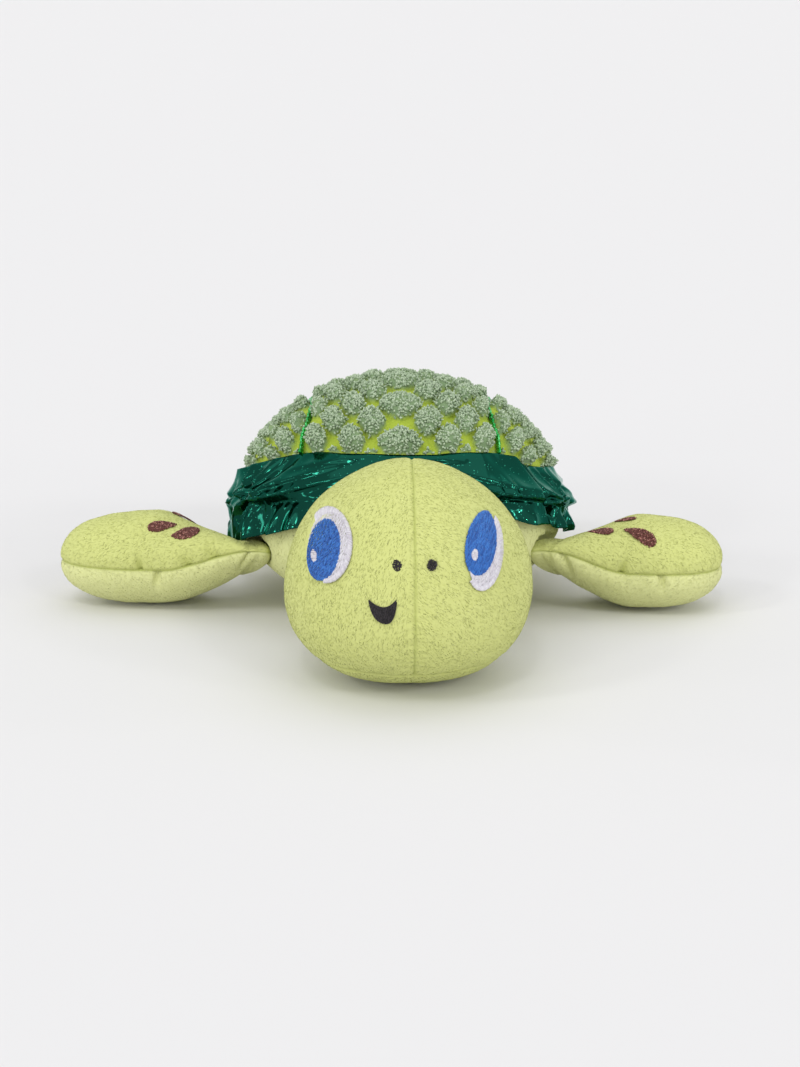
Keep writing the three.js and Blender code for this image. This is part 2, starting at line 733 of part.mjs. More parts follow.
function flipperParts(spec) {
  const { name } = spec;
  const shape = (grow, detail) => flipperForm(spec, grow, detail);
  const floorZ = -spec.hinge.z;
  const floor = block(
    new THREE.Vector3(-reach, -reach, floorZ - overrun), new THREE.Vector3(reach, reach, floorZ));
  const hollow = shape(-skin, fillDetail).subtract(floor.translate([0, 0, skin]));
  const hide = shape(0).subtract(floor).subtract(hollow);
  const half = seamGap / 2;
  const upper = block(new THREE.Vector3(-reach, -reach, half), new THREE.Vector3(reach, reach, reach));
  const lower = block(new THREE.Vector3(-reach, -reach, -reach), new THREE.Vector3(reach, reach, -half));
  const filling = shape(-skin - fillGap, fillDetail).subtract(floor.translate([0, 0, skin + fillGap]));
  const patch = shape(stitchGap + stitchRise).subtract(shape(stitchGap)).intersect(upper);
  const group = new THREE.Group();
  group.add(
    mesh(`${name}_top_panel`, hide.intersect(upper), velboa),
    mesh(`${name}_bottom_panel`, hide.intersect(lower), velboaBelly),
    mesh(`${name}_stuffing`, filling, fibre),
    ...spec.spots.map((spot, i) => mesh(
      `${name}_spot_${i + 1}`, largest(patch.intersect(prism(teardrop(spot, spec.side), 0, overrun))), brownThread)),
  );
  group.position.copy(spec.hinge);
  group.rotation.z = THREE.MathUtils.degToRad(spec.heading);
  return group;
}

// The origin is at the middle of the toy's box, on the surface that it stands on
const turtle = new THREE.Group();
turtle.add(...bodyParts(), ...headParts(), ...flippers.map(flipperParts));
const middle = new THREE.Box3().setFromObject(turtle, true).getCenter(new THREE.Vector3());
turtle.position.set(-middle.x, -middle.y, 0);

export default turtle;
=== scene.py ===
# %% [markdown]
# # A plush turtle, dressed for its picture
#
# The CAD gives the toy as plain solids: panels, fillings, a foil band and stitched patches.
# Here each soft solid gets the cloth that the real toy has: short-pile velboa, nub cloth with
# terry tufts, gathered metallic foil and embroidery. Everything is made by code in this file,
# in the CAD's own frame, so a piece goes straight to its place.

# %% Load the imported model
import math

import bpy
import numpy as np
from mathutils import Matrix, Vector


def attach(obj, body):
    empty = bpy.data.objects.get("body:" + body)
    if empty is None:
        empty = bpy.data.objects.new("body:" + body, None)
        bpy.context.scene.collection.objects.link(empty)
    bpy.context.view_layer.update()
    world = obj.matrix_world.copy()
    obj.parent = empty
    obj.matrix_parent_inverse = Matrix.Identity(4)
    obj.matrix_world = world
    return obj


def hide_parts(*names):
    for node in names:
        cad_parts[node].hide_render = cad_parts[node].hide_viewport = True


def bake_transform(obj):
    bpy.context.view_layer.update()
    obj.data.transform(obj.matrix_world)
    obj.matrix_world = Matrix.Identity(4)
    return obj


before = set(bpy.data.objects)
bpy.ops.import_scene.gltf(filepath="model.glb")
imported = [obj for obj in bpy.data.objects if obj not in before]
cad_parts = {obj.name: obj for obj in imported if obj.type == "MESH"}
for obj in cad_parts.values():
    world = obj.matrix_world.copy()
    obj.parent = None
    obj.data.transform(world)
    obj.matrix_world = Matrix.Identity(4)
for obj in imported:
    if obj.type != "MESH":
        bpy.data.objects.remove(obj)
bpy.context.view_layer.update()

print("CAD nodes:", len(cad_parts))

# %% [markdown]
# ## Camera
#
# The photograph looks at the face from a little above. Outlines of the head, the shell and
# the flippers agree on 15 degrees of height, and on a long lens, since near and far parts
# hardly differ in scale. A long lens is a narrow angle: 36 mm of sensor behind a 100 mm lens.

# %% Camera
MM = 0.001
DRAWING_MIDDLE = np.array([3.7116, 2.3843, 0.0])  # from the drawing's origin to the frame's, in mm
SIGHT_MIDDLE = (0.0, -5.0, 30.3)
SIGHT_HEIGHT = math.radians(15)
SIGHT_DISTANCE = 0.833
SENSOR_WIDTH, FOCAL_LENGTH = 36, 100.04


def to_frame(points):
    """Drawing millimetres to the shared frame in metres."""
    return (np.asarray(points, float) + DRAWING_MIDDLE) * MM


target = Vector(to_frame(SIGHT_MIDDLE))
away = Vector((0, -math.cos(SIGHT_HEIGHT), math.sin(SIGHT_HEIGHT)))
lens = bpy.data.cameras.new("photo_camera")
lens.sensor_fit, lens.sensor_width, lens.lens = "HORIZONTAL", SENSOR_WIDTH, FOCAL_LENGTH
lens.clip_start = 0.05
camera = bpy.data.objects.new("photo_camera", lens)
camera.location = target + away * SIGHT_DISTANCE
camera.rotation_euler = (-away).to_track_quat("-Z", "Y").to_euler()
bpy.context.scene.collection.objects.link(camera)
bpy.context.scene.camera = camera
print("Camera at", tuple(round(c, 3) for c in camera.location))

# %% [markdown]
# ## The forms of the toy
#
# The solids follow a few plain formulas: a bun for the body, an egg for the head, paddles for
# the flippers. Repeating the same formulas here, with finer steps, keeps every cloth surface
# exactly where its solid is. All the numbers in these cells are millimetres of the drawing.

# %% Body form
BODY_HALF_X, BODY_HALF_Y, BODY_Y = 61.5, 72.5, 24.5
GIRTH_Z, CROWN_RISE, BODY_DROP = 31.0, 50.0, 31.5
RIM_SIDE_Z, RIM_FRONT_Z, RIM_POWER = 36.0, 54.0, 1.3
BAND_RISE, BAND_DROP = 12.0, 11.0
BODY_MIDDLE = np.array([0, BODY_Y, GIRTH_Z])
SHELL_HALVES = np.array([BODY_HALF_X, BODY_HALF_Y, CROWN_RISE])


def unit(vectors):
    """The same directions, each with a length of one."""
    return vectors / np.maximum(1e-12, np.linalg.norm(vectors, axis=-1, keepdims=True))


def xyz(x, y, z):
    """Points from their three coordinates."""
    return np.stack([x, y, z], -1)


def rim_height(angle):
    """Height of the seam between shell and belly, which arches over the neck."""
    forward = np.maximum(0, -np.sin(angle))
    return RIM_SIDE_Z + (RIM_FRONT_Z - RIM_SIDE_Z) * np.sin(np.pi / 2 * forward) ** RIM_POWER


def body_at(z, angle, grow=0.0):
    """The place on the body at a height and an angle round it, grown by a distance."""
    half = np.where(z > GIRTH_Z, CROWN_RISE, BODY_DROP) + grow
    level = np.minimum(1, np.abs(z - GIRTH_Z) / half)
    plan = np.sqrt(1 - level * level)
    return xyz((BODY_HALF_X + grow) * plan * np.cos(angle),
               BODY_Y + (BODY_HALF_Y + grow) * plan * np.sin(angle), z + 0 * angle)


def shell_normal(points):
    """The way that the smooth shell faces at places on it."""
    return unit((points - BODY_MIDDLE) / SHELL_HALVES**2)


def cloth_point(across, along, height=0.0):
    """A place on the shell cloth, given by lengths along the cloth, and lifted by a height."""
    pitch = along / BODY_HALF_Y
    roll = across / (BODY_HALF_X * np.cos(pitch))
    place = xyz(BODY_HALF_X * np.sin(roll) * np.cos(pitch), BODY_Y + BODY_HALF_Y * np.sin(pitch),
                GIRTH_Z + CROWN_RISE * np.cos(roll) * np.cos(pitch))
    normal = shell_normal(place)
    return place + normal * np.asarray(height)[..., None], normal


def cloth_lengths(points):
    """The inverse: across and along of points on the shell."""
    x, y, z = points.T
    pitch = np.arcsin(np.clip((y - BODY_Y) / BODY_HALF_Y, -1, 1))
    roll = np.arctan2(x / BODY_HALF_X, (z - GIRTH_Z) / CROWN_RISE)
    return roll * BODY_HALF_X * np.cos(pitch), pitch * BODY_HALF_Y


# %% Head form
HEAD_X, HEAD_Y, HEAD_SEAT_Z, HEAD_HALF_X = 2.8, -77.0, 32.0, 42.6
HEAD_FRONT, HEAD_BACK, HEAD_RISE, HEAD_DROP = 48.0, 36.0, 43.5, 32.5
HEAD_TOP_POWER, HEAD_BASE_POWER, NECK_SHARE = 1.88, 2.25, 0.56
WALL_SHARE, CAP_SHARE = 0.85, 0.15  # of the way back: the neck's side, then its closing face
SETTLE_ROUNDS = 4
SLOPE_STEP = 0.3
NECK_HINGE_Y, NECK_HINGE_Z, NECK_RADIUS = -16.0, 36.0, 26.0


def saddle_y(z, radius=NECK_RADIUS):
    """Where the round face of the neck hinge lies at a height."""
    return NECK_HINGE_Y - np.sqrt(np.maximum(0, radius**2 - (z - NECK_HINGE_Z) ** 2))


def squared(value, power):
    """A sine or cosine, changed so that the ring it draws is squarer or more pointed."""
    return np.sign(value) * np.abs(value) ** (2 / power)


def head_points(d):
    """Unit directions, with the nose along -Y, to places on the head."""
    ring = np.maximum(1e-9, np.hypot(d[:, 0], d[:, 2]))
    cos_turn, sin_turn = d[:, 0] / ring, d[:, 2] / ring
    power = np.where(d[:, 2] > 0, HEAD_TOP_POWER, HEAD_BASE_POWER)
    half = np.where(d[:, 2] > 0, HEAD_RISE, HEAD_DROP)
    across, up = squared(cos_turn, power), squared(sin_turn, power) * half
    behind = np.clip(d[:, 1], 0, 1)
    wall, cap = np.minimum(1, behind / WALL_SHARE), np.clip((behind - WALL_SHARE) / CAP_SHARE, 0, 1)
    front_share = np.sqrt(np.maximum(0, 1 - np.minimum(0, d[:, 1]) ** 2))
    y = HEAD_Y + HEAD_FRONT * np.minimum(0, d[:, 1])
    share = front_share
    for _ in range(SETTLE_ROUNDS):
        z = HEAD_SEAT_Z + up * share
        back_y = HEAD_Y + wall * (saddle_y(z) - HEAD_Y)
        back = np.maximum(0, back_y - HEAD_Y)
        taper = NECK_SHARE + (1 - NECK_SHARE) * np.cos(np.pi / 2 * np.minimum(1, back / HEAD_BACK))
        y = np.where(d[:, 1] > 0, back_y, y)
        share = np.where(d[:, 1] > 0, taper * (1 - cap), front_share)
    return xyz(HEAD_X + across * HEAD_HALF_X * share, y, HEAD_SEAT_Z + up * share)


def face_point(x, z, lift):
    """The place on the front of the head at x and z, lifted off the cloth, and its normal."""
    x, z = np.asarray(x, float), np.asarray(z, float)

    def depth(x, z):
        power = np.where(z > HEAD_SEAT_Z, HEAD_TOP_POWER, HEAD_BASE_POWER)
        half = np.where(z > HEAD_SEAT_Z, HEAD_RISE, HEAD_DROP)
        share = (np.abs((x - HEAD_X) / HEAD_HALF_X) ** power
                 + np.abs((z - HEAD_SEAT_Z) / half) ** power) ** (1 / power)
        return HEAD_Y - HEAD_FRONT * np.sqrt(np.maximum(0, 1 - share * share))

    slope_x = (depth(x + SLOPE_STEP, z) - depth(x - SLOPE_STEP, z)) / (2 * SLOPE_STEP)
    slope_z = (depth(x, z + SLOPE_STEP) - depth(x, z - SLOPE_STEP)) / (2 * SLOPE_STEP)
    normal = unit(xyz(slope_x, -np.ones_like(slope_x), slope_z))
    return xyz(x, depth(x, z), z) + normal * np.asarray(lift)[..., None], normal


# %% Flipper form
SWELL_POWER, FLIPPER_TIP_POWER, ROOT_BLEND, FLAP_ROOM = 0.85, 5, 22.0, 2.0
FRONT_PADDLE = dict(root=7, root_front=28, root_back=9, thick=17.7, front=20, back=27,
                    low_start=3, low_reach=30, top_reach=34, lift=0.34)
REAR_PADDLE = dict(root=5.5, root_front=11, root_back=11, thick=13.8, front=17, back=17,
                   low_start=5.5, low_reach=26, top_reach=27, lift=0, lean=0, reach=44)
FLIPPERS = {
    "front_flipper_left": dict(FRONT_PADDLE, side=1, hinge=(61, 8, 17.5), heading=-11,
                               lean=0.22, reach=62.2),
    "front_flipper_right": dict(FRONT_PADDLE, side=-1, hinge=(-61, 8, 17.5), heading=180,
                                lean=0.4, reach=68.7),
    "rear_flipper_left": dict(REAR_PADDLE, side=1, hinge=(31.5, 83.5, 14), heading=50),
    "rear_flipper_right": dict(REAR_PADDLE, side=-1, hinge=(-31.5, 83.5, 14), heading=130),
}


def turned(points, spec, back=False):
    """From a flipper's own frame to the drawing, or back."""
    a = math.radians(spec["heading"])
    turn = np.array([[math.cos(a), -math.sin(a), 0], [math.sin(a), math.cos(a), 0], [0, 0, 1]])
    hinge = np.array(spec["hinge"], float)
    return (points - hinge) @ turn if back else points @ turn.T + hinge


def leant(points, spec, back=False):
    """Sets a root along the body's side, further in and higher ahead of the hinge, or undoes it."""
    x, y, z = points.T
    ahead, straight = -spec["side"] * y, x
    for _ in range(SETTLE_ROUNDS if back else 1):
        free = np.clip((straight - spec["root"]) / ROOT_BLEND, 0, 1)
        held = ahead * np.cos(np.pi / 2 * free) ** 2
        straight = x + spec["lean"] * held
    sign = -1 if back else 1
    return xyz(x - sign * spec["lean"] * held, y, z + sign * spec["lift"] * held)


def in_flipper(points, spec):
    """Places of the drawing in a flipper's own frame, with its root set straight."""
    return leant(turned(points, spec, back=True), spec, back=True)


def fore_aft(y, spec, ahead, behind):
    """One value ahead of a flipper's middle line and another behind it."""
    return np.where(y * spec["side"] < 0, ahead, behind)


def flipper_section(spec, along):
    """Half thicknesses above and below, and half widths ahead and behind, at a place along it."""
    def swell(start, end):
        return np.sin(np.pi / 2 * np.clip((along - start) / (end - start), 0, 1)) ** SWELL_POWER

    spread = swell(spec["root"], spec["top_reach"])
    low = swell(spec["low_start"], spec["low_reach"])
    inward = np.clip(-along / spec["root"], 0, 1)
    tip = np.clip(along / spec["reach"], 0, 1) ** FLIPPER_TIP_POWER
    ends = np.sqrt(np.maximum(0, 1 - inward**2)) * np.sqrt(np.maximum(0, 1 - tip))
    grown = lambda root, full, share: (spec[root] + (spec[full] - spec[root]) * share) * ends
    return (grown("root", "thick", spread), grown("root", "thick", low),
            grown("root_front", "front", spread), grown("root_back", "back", spread))


def flipper_points(spec, d):
    """Unit directions, with the tip along +X, to places in a flipper's own frame, not yet leant."""
    along = -spec["root"] + (spec["reach"] + spec["root"]) * (1 + d[:, 0]) / 2
    above, below, ahead, behind = flipper_section(spec, along)
    ring = np.maximum(1e-9, np.hypot(d[:, 1], d[:, 2]))
    chord, height = fore_aft(d[:, 1], spec, ahead, behind), np.where(d[:, 2] > 0, above, below)
    return xyz(along, d[:, 1] / ring * chord, d[:, 2] / ring * height)


print("Forms ready: body, head and", len(FLIPPERS), "flippers")

# %% [markdown]
# ## Helpers that make meshes
#
# A ball made from the six sides of a cube has no pole where faces crowd together, so a seam
# or a fold can cross it anywhere. Each stuffed form starts as such a ball, and its points are
# then moved to their places.

# %% Mesh helpers
def grid_quads(rows, columns):
    """Four-sided faces over a grid of points that are numbered row by row."""
    n = np.arange(rows * columns).reshape(rows, columns)
    return np.stack([n[:-1, :-1], n[1:, :-1], n[1:, 1:], n[:-1, 1:]], -1).reshape(-1, 4)


def cube_ball(steps):
    """Unit directions and four-sided faces over a ball, from the sides of a cube."""
    line = np.tan(np.linspace(-np.pi / 4, np.pi / 4, steps + 1))
    u, v = np.meshgrid(line, line, indexing="ij")
    one = np.ones_like(u)
    sides = [(one, u, v), (-one, -u, v), (-u, one, v), (u, -one, v), (-v, u, one), (v, u, -one)]
    points = unit(np.concatenate([np.stack(s, -1).reshape(-1, 3) for s in sides]))
    quads = grid_quads(*u.shape)
    faces = np.concatenate([quads + i * u.size for i in range(6)])
    _, first, same = np.unique(np.round(points, 6), axis=0, return_index=True, return_inverse=True)
    return points[first], same.ravel()[faces]


def disc(steps):
    """Places in a unit disc, from a square grid, with four-sided faces and the edge in order."""
    line = np.linspace(-1, 1, steps + 1)
    u, v = np.meshgrid(line, line, indexing="ij")
    wide, reach = np.abs(u) > np.abs(v), np.maximum(np.abs(u), np.abs(v))
    turn = np.where(wide, v, u) / np.where(reach == 0, 1, reach) * np.pi / 4
    x = reach * np.where(wide, np.sign(u) * np.cos(turn), np.sin(turn))
    y = reach * np.where(wide, np.sin(turn), np.sign(v) * np.cos(turn))
    n = np.arange(u.size).reshape(u.shape)
    edge = np.concatenate([n[:-1, 0], n[-1, :-1], n[:0:-1, -1], n[0, :0:-1]])
    return np.stack([x.ravel(), y.ravel()], -1), grid_quads(*u.shape), edge


def point_normals(points, quads):
    """The way that a surface of four-sided faces looks at each of its points."""
    a, b, c, d = (points[quads[:, i]] for i in range(4))
    normal = np.cross(c - a, d - b)
    total = np.zeros_like(points)
    for i in range(4):
        for axis in range(3):
            total[:, axis] += np.bincount(quads[:, i], normal[:, axis], len(points))
    return unit(total)


def facing_out(points, faces):
    """Faces in an order that makes them point away from the inside."""
    a, b, c = (points[faces[:, i]] for i in (0, 1, 2))
    volume = np.einsum("ij,ij->", a, np.cross(b, c))
    if faces.shape[1] == 4:
        volume += np.einsum("ij,ij->", a, np.cross(c, points[faces[:, 3]]))
    return faces if volume > 0 else faces[:, ::-1]


def piece(name, points, faces, material, masks=None):
    """A smooth mesh object from drawing points; masks are values from 0 to 1 kept on its points."""
    data = bpy.data.meshes.new(name)
    faces = np.asarray(faces, np.int32)
    count, corners = faces.shape
    data.vertices.add(len(points))
    data.vertices.foreach_set("co", to_frame(points).astype(np.float32).ravel())
    data.loops.add(count * corners)
    data.loops.foreach_set("vertex_index", faces.ravel())
    data.polygons.add(count)
    data.polygons.foreach_set("loop_start", np.arange(count, dtype=np.int32) * corners)
    data.update(calc_edges=True)
    for key, values in (masks or {}).items():
        values = np.asarray(values, np.float32)
        data.attributes.new(key, "FLOAT", "POINT").data.foreach_set("value", values)
    data.polygons.foreach_set("use_smooth", np.ones(count, bool))
    data.materials.append(material)
    made = bpy.data.objects.new(name, data)
    bpy.context.scene.collection.objects.link(made)
    print(f"{name}: {len(points)} points, {count} faces")
    return made


def smooth_step(value, low, high):
    """From 0 at low to 1 at high, without a corner at either."""
    t = np.clip((value - low) / (high - low), 0, 1)
    return t * t * (3 - 2 * t)


def hill(distance, width):
    """1 at no distance, and nearly nothing at twice the width, like a bell."""
    return np.exp(-(distance / width) ** 2)


FLOOR_GAP, FLOOR_ROUNDING = 0.25, 0.5


def soft_floor(points):
    """Rounds what would go under the table up to it, as a soft toy settles."""
    over = (points[:, 2] - FLOOR_GAP) / FLOOR_ROUNDING
    points[:, 2] = FLOOR_GAP + FLOOR_ROUNDING * np.logaddexp(0, over)
    return points


WAVE_COUNT, WAVE_PEAK = 9, 1.4


def waves(points, length, seed):
    """A smooth random value over space, mostly from -1 to 1, with hills of about a length."""
    rng = np.random.default_rng(seed)
    ways = unit(rng.normal(size=(WAVE_COUNT, 3)))
    phase = rng.uniform(0, 2 * np.pi, WAVE_COUNT)
    total = np.sin(points @ (ways.T * (2 * np.pi / length)) + phase).sum(1)
    return total / math.sqrt(WAVE_COUNT) / WAVE_PEAK


# %% [markdown]
# ## Shader groups
#
# Three effects come back in several materials. Pile and thread are both soft light and dark
# streaks at the scale of a tuft or a stitch; glitter is a scatter of tiny mirrors, each tilted
# its own way. Each effect is one node group with named sockets, and each material gives it
# its own colours and scale.

# %% Shader group helpers
def new_group(name, inputs, outputs):
    """An empty shader group with its sockets, and the nodes that hold them."""
    tree = bpy.data.node_groups.new(name, "ShaderNodeTree")
    for label, kind, value in inputs:
        socket = tree.interface.new_socket(label, in_out="INPUT", socket_type=kind)
        socket.default_value = value
    for label, kind in outputs:
        tree.interface.new_socket(label, in_out="OUTPUT", socket_type=kind)
    return tree, tree.nodes.new("NodeGroupInput"), tree.nodes.new("NodeGroupOutput")


def node(tree, kind, links=None, **settings):
    """A node with its settings, and each input given as a value or as a socket to join."""
    made = tree.nodes.new("ShaderNode" + kind)
    for key, value in settings.items():
        setattr(made, key, value)
    for key, value in (links or {}).items():
        if isinstance(value, bpy.types.NodeSocket):
            tree.links.new(value, made.inputs[key])
        else:
            made.inputs[key].default_value = value
    return made


def mixed(tree, factor, first, second):
    """Two colours mixed by a factor. The colour sockets of a Mix node are its 6, 7 and 2."""
    return node(tree, "Mix", {0: factor, 6: first, 7: second}, data_type="RGBA").outputs[2]


def arith(tree, operation, first, second, kind="Math", **settings):
    """The result of one sum on numbers, or on vectors where kind is VectorMath."""
    return node(tree, kind, {0: first, 1: second}, operation=operation, **settings).outputs[0]


def colour(red, green, blue):
    """A screen colour from 0 to 255 as the linear colour that a shader takes."""
    line = lambda c: c / 12.92 if c <= 0.04045 else ((c + 0.055) / 1.055) ** 2.4
    return tuple(line(c / 255) for c in (red, green, blue)) + (1.0,)


# %% Shader group: tufts
tufts, given, result = new_group("tufts", [
    ("Low Colour", "NodeSocketColor", (0.3, 0.35, 0.1, 1)),
    ("High Colour", "NodeSocketColor", (0.7, 0.8, 0.3, 1)),
    ("Drift Colour", "NodeSocketColor", (0.6, 0.7, 0.2, 1)),
    ("Tuft Size", "NodeSocketFloat", 0.001), ("Contrast", "NodeSocketFloat", 1.0)],
    [("Color", "NodeSocketColor"), ("Height", "NodeSocketFloat"), ("Roughness", "NodeSocketFloat")])
place = node(tufts, "TexCoord").outputs["Object"]
per_size = arith(tufts, "DIVIDE", 1.0, given.outputs["Tuft Size"])
sway = node(tufts, "TexNoise", {"Vector": place, "Scale": 130.0, "Detail": 1.0}).outputs["Color"]
swayed = arith(tufts, "MULTIPLY", sway, (0.004, 0.004, 0.004), "VectorMath")
moved = arith(tufts, "ADD", place, swayed, "VectorMath")
streaks = node(tufts, "Mapping", {"Vector": moved, "Scale": (1.0, 1.0, 0.45)}).outputs[0]
fine = node(tufts, "TexNoise", {"Vector": streaks, "Scale": per_size, "Detail": 3.0,
                                "Roughness": 0.6}).outputs["Fac"]
spread = node(tufts, "MapRange", {"Value": fine, "From Min": 0.36, "From Max": 0.64}).outputs[0]
level = arith(tufts, "MULTIPLY", spread, given.outputs["Contrast"])
offset = arith(tufts, "SUBTRACT", 1.0, given.outputs["Contrast"])
level = arith(tufts, "ADD", level, offset, use_clamp=True)
shade = mixed(tufts, level, given.outputs["Low Colour"], given.outputs["High Colour"])
broad = node(tufts, "TexNoise", {"Vector": place, "Scale": 38.0, "Detail": 2.0}).outputs["Fac"]
drift = node(tufts, "MapRange", {"Value": broad, "From Min": 0.35, "From Max": 0.7,
                                 "To Max": 0.45}).outputs[0]
shade = mixed(tufts, drift, shade, given.outputs["Drift Colour"])
matte = node(tufts, "MapRange", {"Value": fine, "To Min": 0.95, "To Max": 0.75}).outputs[0]
for label, value in (("Color", shade), ("Height", fine), ("Roughness", matte)):
    tufts.links.new(value, result.inputs[label])

# %% Shader group: glitter
glitter, given, result = new_group("glitter", [
    ("Grain Size", "NodeSocketFloat", 0.0004), ("Tilt", "NodeSocketFloat", 0.3),
    ("Share", "NodeSocketFloat", 0.2)],
    [("Mask", "NodeSocketFloat"), ("Value", "NodeSocketFloat"), ("Normal", "NodeSocketVector")])


def scaled(vector, by):
    """A vector of the glitter group, made longer or shorter."""
    return node(glitter, "VectorMath", {0: vector, "Scale": by}, operation="SCALE").outputs[0]


place = node(glitter, "TexCoord").outputs["Object"]
per_size = arith(glitter, "DIVIDE", 1.0, given.outputs["Grain Size"])
grains = node(glitter, "TexVoronoi", {"Vector": place, "Scale": per_size}).outputs["Color"]
centred = arith(glitter, "SUBTRACT", grains, (0.5, 0.5, 0.5), "VectorMath")
parts = node(glitter, "SeparateColor", {"Color": grains}).outputs
edge = arith(glitter, "SUBTRACT", 1.0, given.outputs["Share"])
chosen = arith(glitter, "GREATER_THAN", parts["Green"], edge)
held = scaled(scaled(centred, given.outputs["Tilt"]), chosen)
leaned = arith(glitter, "ADD", node(glitter, "NewGeometry").outputs["Normal"], held, "VectorMath")
tilted = node(glitter, "VectorMath", {0: leaned}, operation="NORMALIZE").outputs[0]
for label, value in (("Mask", chosen), ("Value", parts["Blue"]), ("Normal", tilted)):
    glitter.links.new(value, result.inputs[label])
print("Shader groups:", [g.name for g in bpy.data.node_groups])

# %% [markdown]
# ## Materials
#
# Velboa is a knitted plush with a short brushed pile: matte face on, paler where it is seen
# along the pile, which sheen gives. The foil is a thin metallic film on cloth: a dark green
# mirror that is nearly black until a lamp falls in its angle, with fine glitter all over.

# %% Material helpers
def new_material(name, rough=0.9, sheen=0.0, metal=0.0):
    """A material with a Principled shader, its surface numbers set on its own sockets."""
    made = bpy.data.materials.new(name)
    made.use_nodes = True
    shader = made.node_tree.nodes["Principled BSDF"]
    shader.inputs["Roughness"].default_value = rough
    shader.inputs["Sheen Weight"].default_value = sheen
    shader.inputs["Sheen Roughness"].default_value = 0.45
    shader.inputs["Metallic"].default_value = metal
    return made, made.node_tree, shader


def place_group(tree, group, values):
    """A shader group in a material, with values on its sockets."""
    made = tree.nodes.new("ShaderNodeGroup")
    made.node_tree = group
    for key, value in values.items():
        made.inputs[key].default_value = value
    return made


def tuft_material(name, tones, mask, masked, size, bump, contrast=1.0, sheen=0.2, tint=None,
                  specular=0.25):
    """Pile or thread: low, high and drift tones, their height as bump, and a tone where masked:
    painted shade on seams, pile feet and loop roots, the pads' own colour on nub cloth, a random
    tone on stitches.
    """
    made, tree, shader = new_material(name, sheen=sheen)
    shader.inputs["Specular IOR Level"].default_value = specular
    if tint:
        shader.inputs["Sheen Tint"].default_value = colour(*tint)
    low, high, drift = (colour(*tone) for tone in tones)
    soft = place_group(tree, tufts, {"Low Colour": low, "High Colour": high, "Drift Colour": drift,
                                     "Tuft Size": size, "Contrast": contrast})
    share = node(tree, "Attribute", attribute_name=mask).outputs["Fac"]
    base = mixed(tree, share, soft.outputs["Color"], colour(*masked))
    tree.links.new(base, shader.inputs["Base Color"])
    tree.links.new(soft.outputs["Roughness"], shader.inputs["Roughness"])
    raised = node(tree, "Bump", {"Strength": 0.8, "Distance": bump,
                                 "Height": soft.outputs["Height"]})
    tree.links.new(raised.outputs[0], shader.inputs["Normal"])
    return made


# %% Velboa, nub cloth and thread materials
# The seam tone is painted shade: where a seam mask is set, velboa is darkened along the seam's
# valley.
SEAM_SHADE = (128, 140, 48)
CLOTH = dict(size=0.0007, bump=0.0001, contrast=0.6)
PILE = dict(size=0.0016, bump=0.00005, contrast=0.6)
THREAD = dict(size=0.0004, bump=0.0001, sheen=0.1, specular=0.5)
velboa = tuft_material("lime_velboa", [(190, 195, 117), (201, 206, 131), (194, 199, 120)],
                       "seam", SEAM_SHADE, tint=(232, 238, 178), **CLOTH)
velboa_pale = tuft_material("pale_velboa", [(203, 206, 140), (214, 217, 155), (208, 211, 146)],
                            "seam", SEAM_SHADE, tint=(238, 240, 194), **CLOTH)
# The pile's masked tone is painted shade at the blades' feet.
pile_lime = tuft_material("lime_pile", [(198, 202, 126), (206, 210, 137), (201, 206, 130)],
                          "deep_shade_and_tone", (191, 196, 118), tint=(236, 242, 184), **PILE)
pile_pale = tuft_material("pale_pile", [(213, 215, 153), (221, 223, 164), (217, 219, 157)],
                          "deep_shade_and_tone", (205, 208, 145), tint=(242, 244, 200), **PILE)
ground_and_nubs = tuft_material("nub_ground", [(150, 172, 50), (172, 190, 68), (160, 180, 58)],
                                "nub", (118, 142, 104), tint=(215, 230, 120), size=0.0006,
                                bump=0.0002, contrast=0.8, sheen=0.3)
# The terry's dark masked tone is painted shade among the loops, strongest at their roots.
terry = tuft_material("terry_yarn", [(164, 186, 150), (216, 228, 202), (188, 206, 174)],
                      "deep_shade_and_tone", (98, 124, 88), size=0.0005, bump=0.0002)
THREADS = {name: tuft_material(name, tones, "deep_shade_and_tone", deep_shade_and_tone, **THREAD) for name, tones, deep_shade_and_tone in (
    ("white_thread", [(206, 203, 209), (230, 228, 232), (218, 215, 221)], (196, 190, 200)),
    ("blue_thread", [(32, 88, 170), (68, 132, 206), (46, 108, 188)], (24, 68, 142)),
    ("black_thread", [(20, 16, 18), (52, 46, 50), (30, 25, 28)], (8, 6, 8)))}


# %% Foil, piping and glitter thread materials
def metal_material(name, dark, light, grain, tilt, share, rough, metal=1.0, edge=(255, 255, 255)):
    """Metal with a share of its grains in a lighter tone, each tilted its own way."""
    made, tree, shader = new_material(name, rough=rough, metal=metal)
    shader.inputs["Specular Tint"].default_value = colour(*edge)
    specks = place_group(tree, glitter, {"Grain Size": grain, "Tilt": tilt, "Share": share})
    base = mixed(tree, specks.outputs["Mask"], colour(*dark), colour(*light))
    tree.links.new(base, shader.inputs["Base Color"])
    uneven = node(tree, "MapRange", {"Value": specks.outputs["Value"],
                                     "To Min": rough * 0.7, "To Max": rough * 1.3})
    tree.links.new(uneven.outputs[0], shader.inputs["Roughness"])
    tree.links.new(specks.outputs["Normal"], shader.inputs["Normal"])
    return made


foil = metal_material("green_foil", (18, 68, 56), (66, 176, 148), grain=0.00028, tilt=0.3,
                      share=0.01, rough=0.1, edge=(190, 235, 222))
piping = metal_material("metallic_piping", (40, 150, 70), (110, 235, 140), grain=0.0005, tilt=0.6,
                        share=0.35, rough=0.3)
brown_thread = metal_material("brown_glitter_thread", (96, 50, 42), (196, 140, 128), grain=0.0004,
                              tilt=0.9, share=0.16, rough=0.45, metal=0.35)
print("Materials:", len(bpy.data.materials))

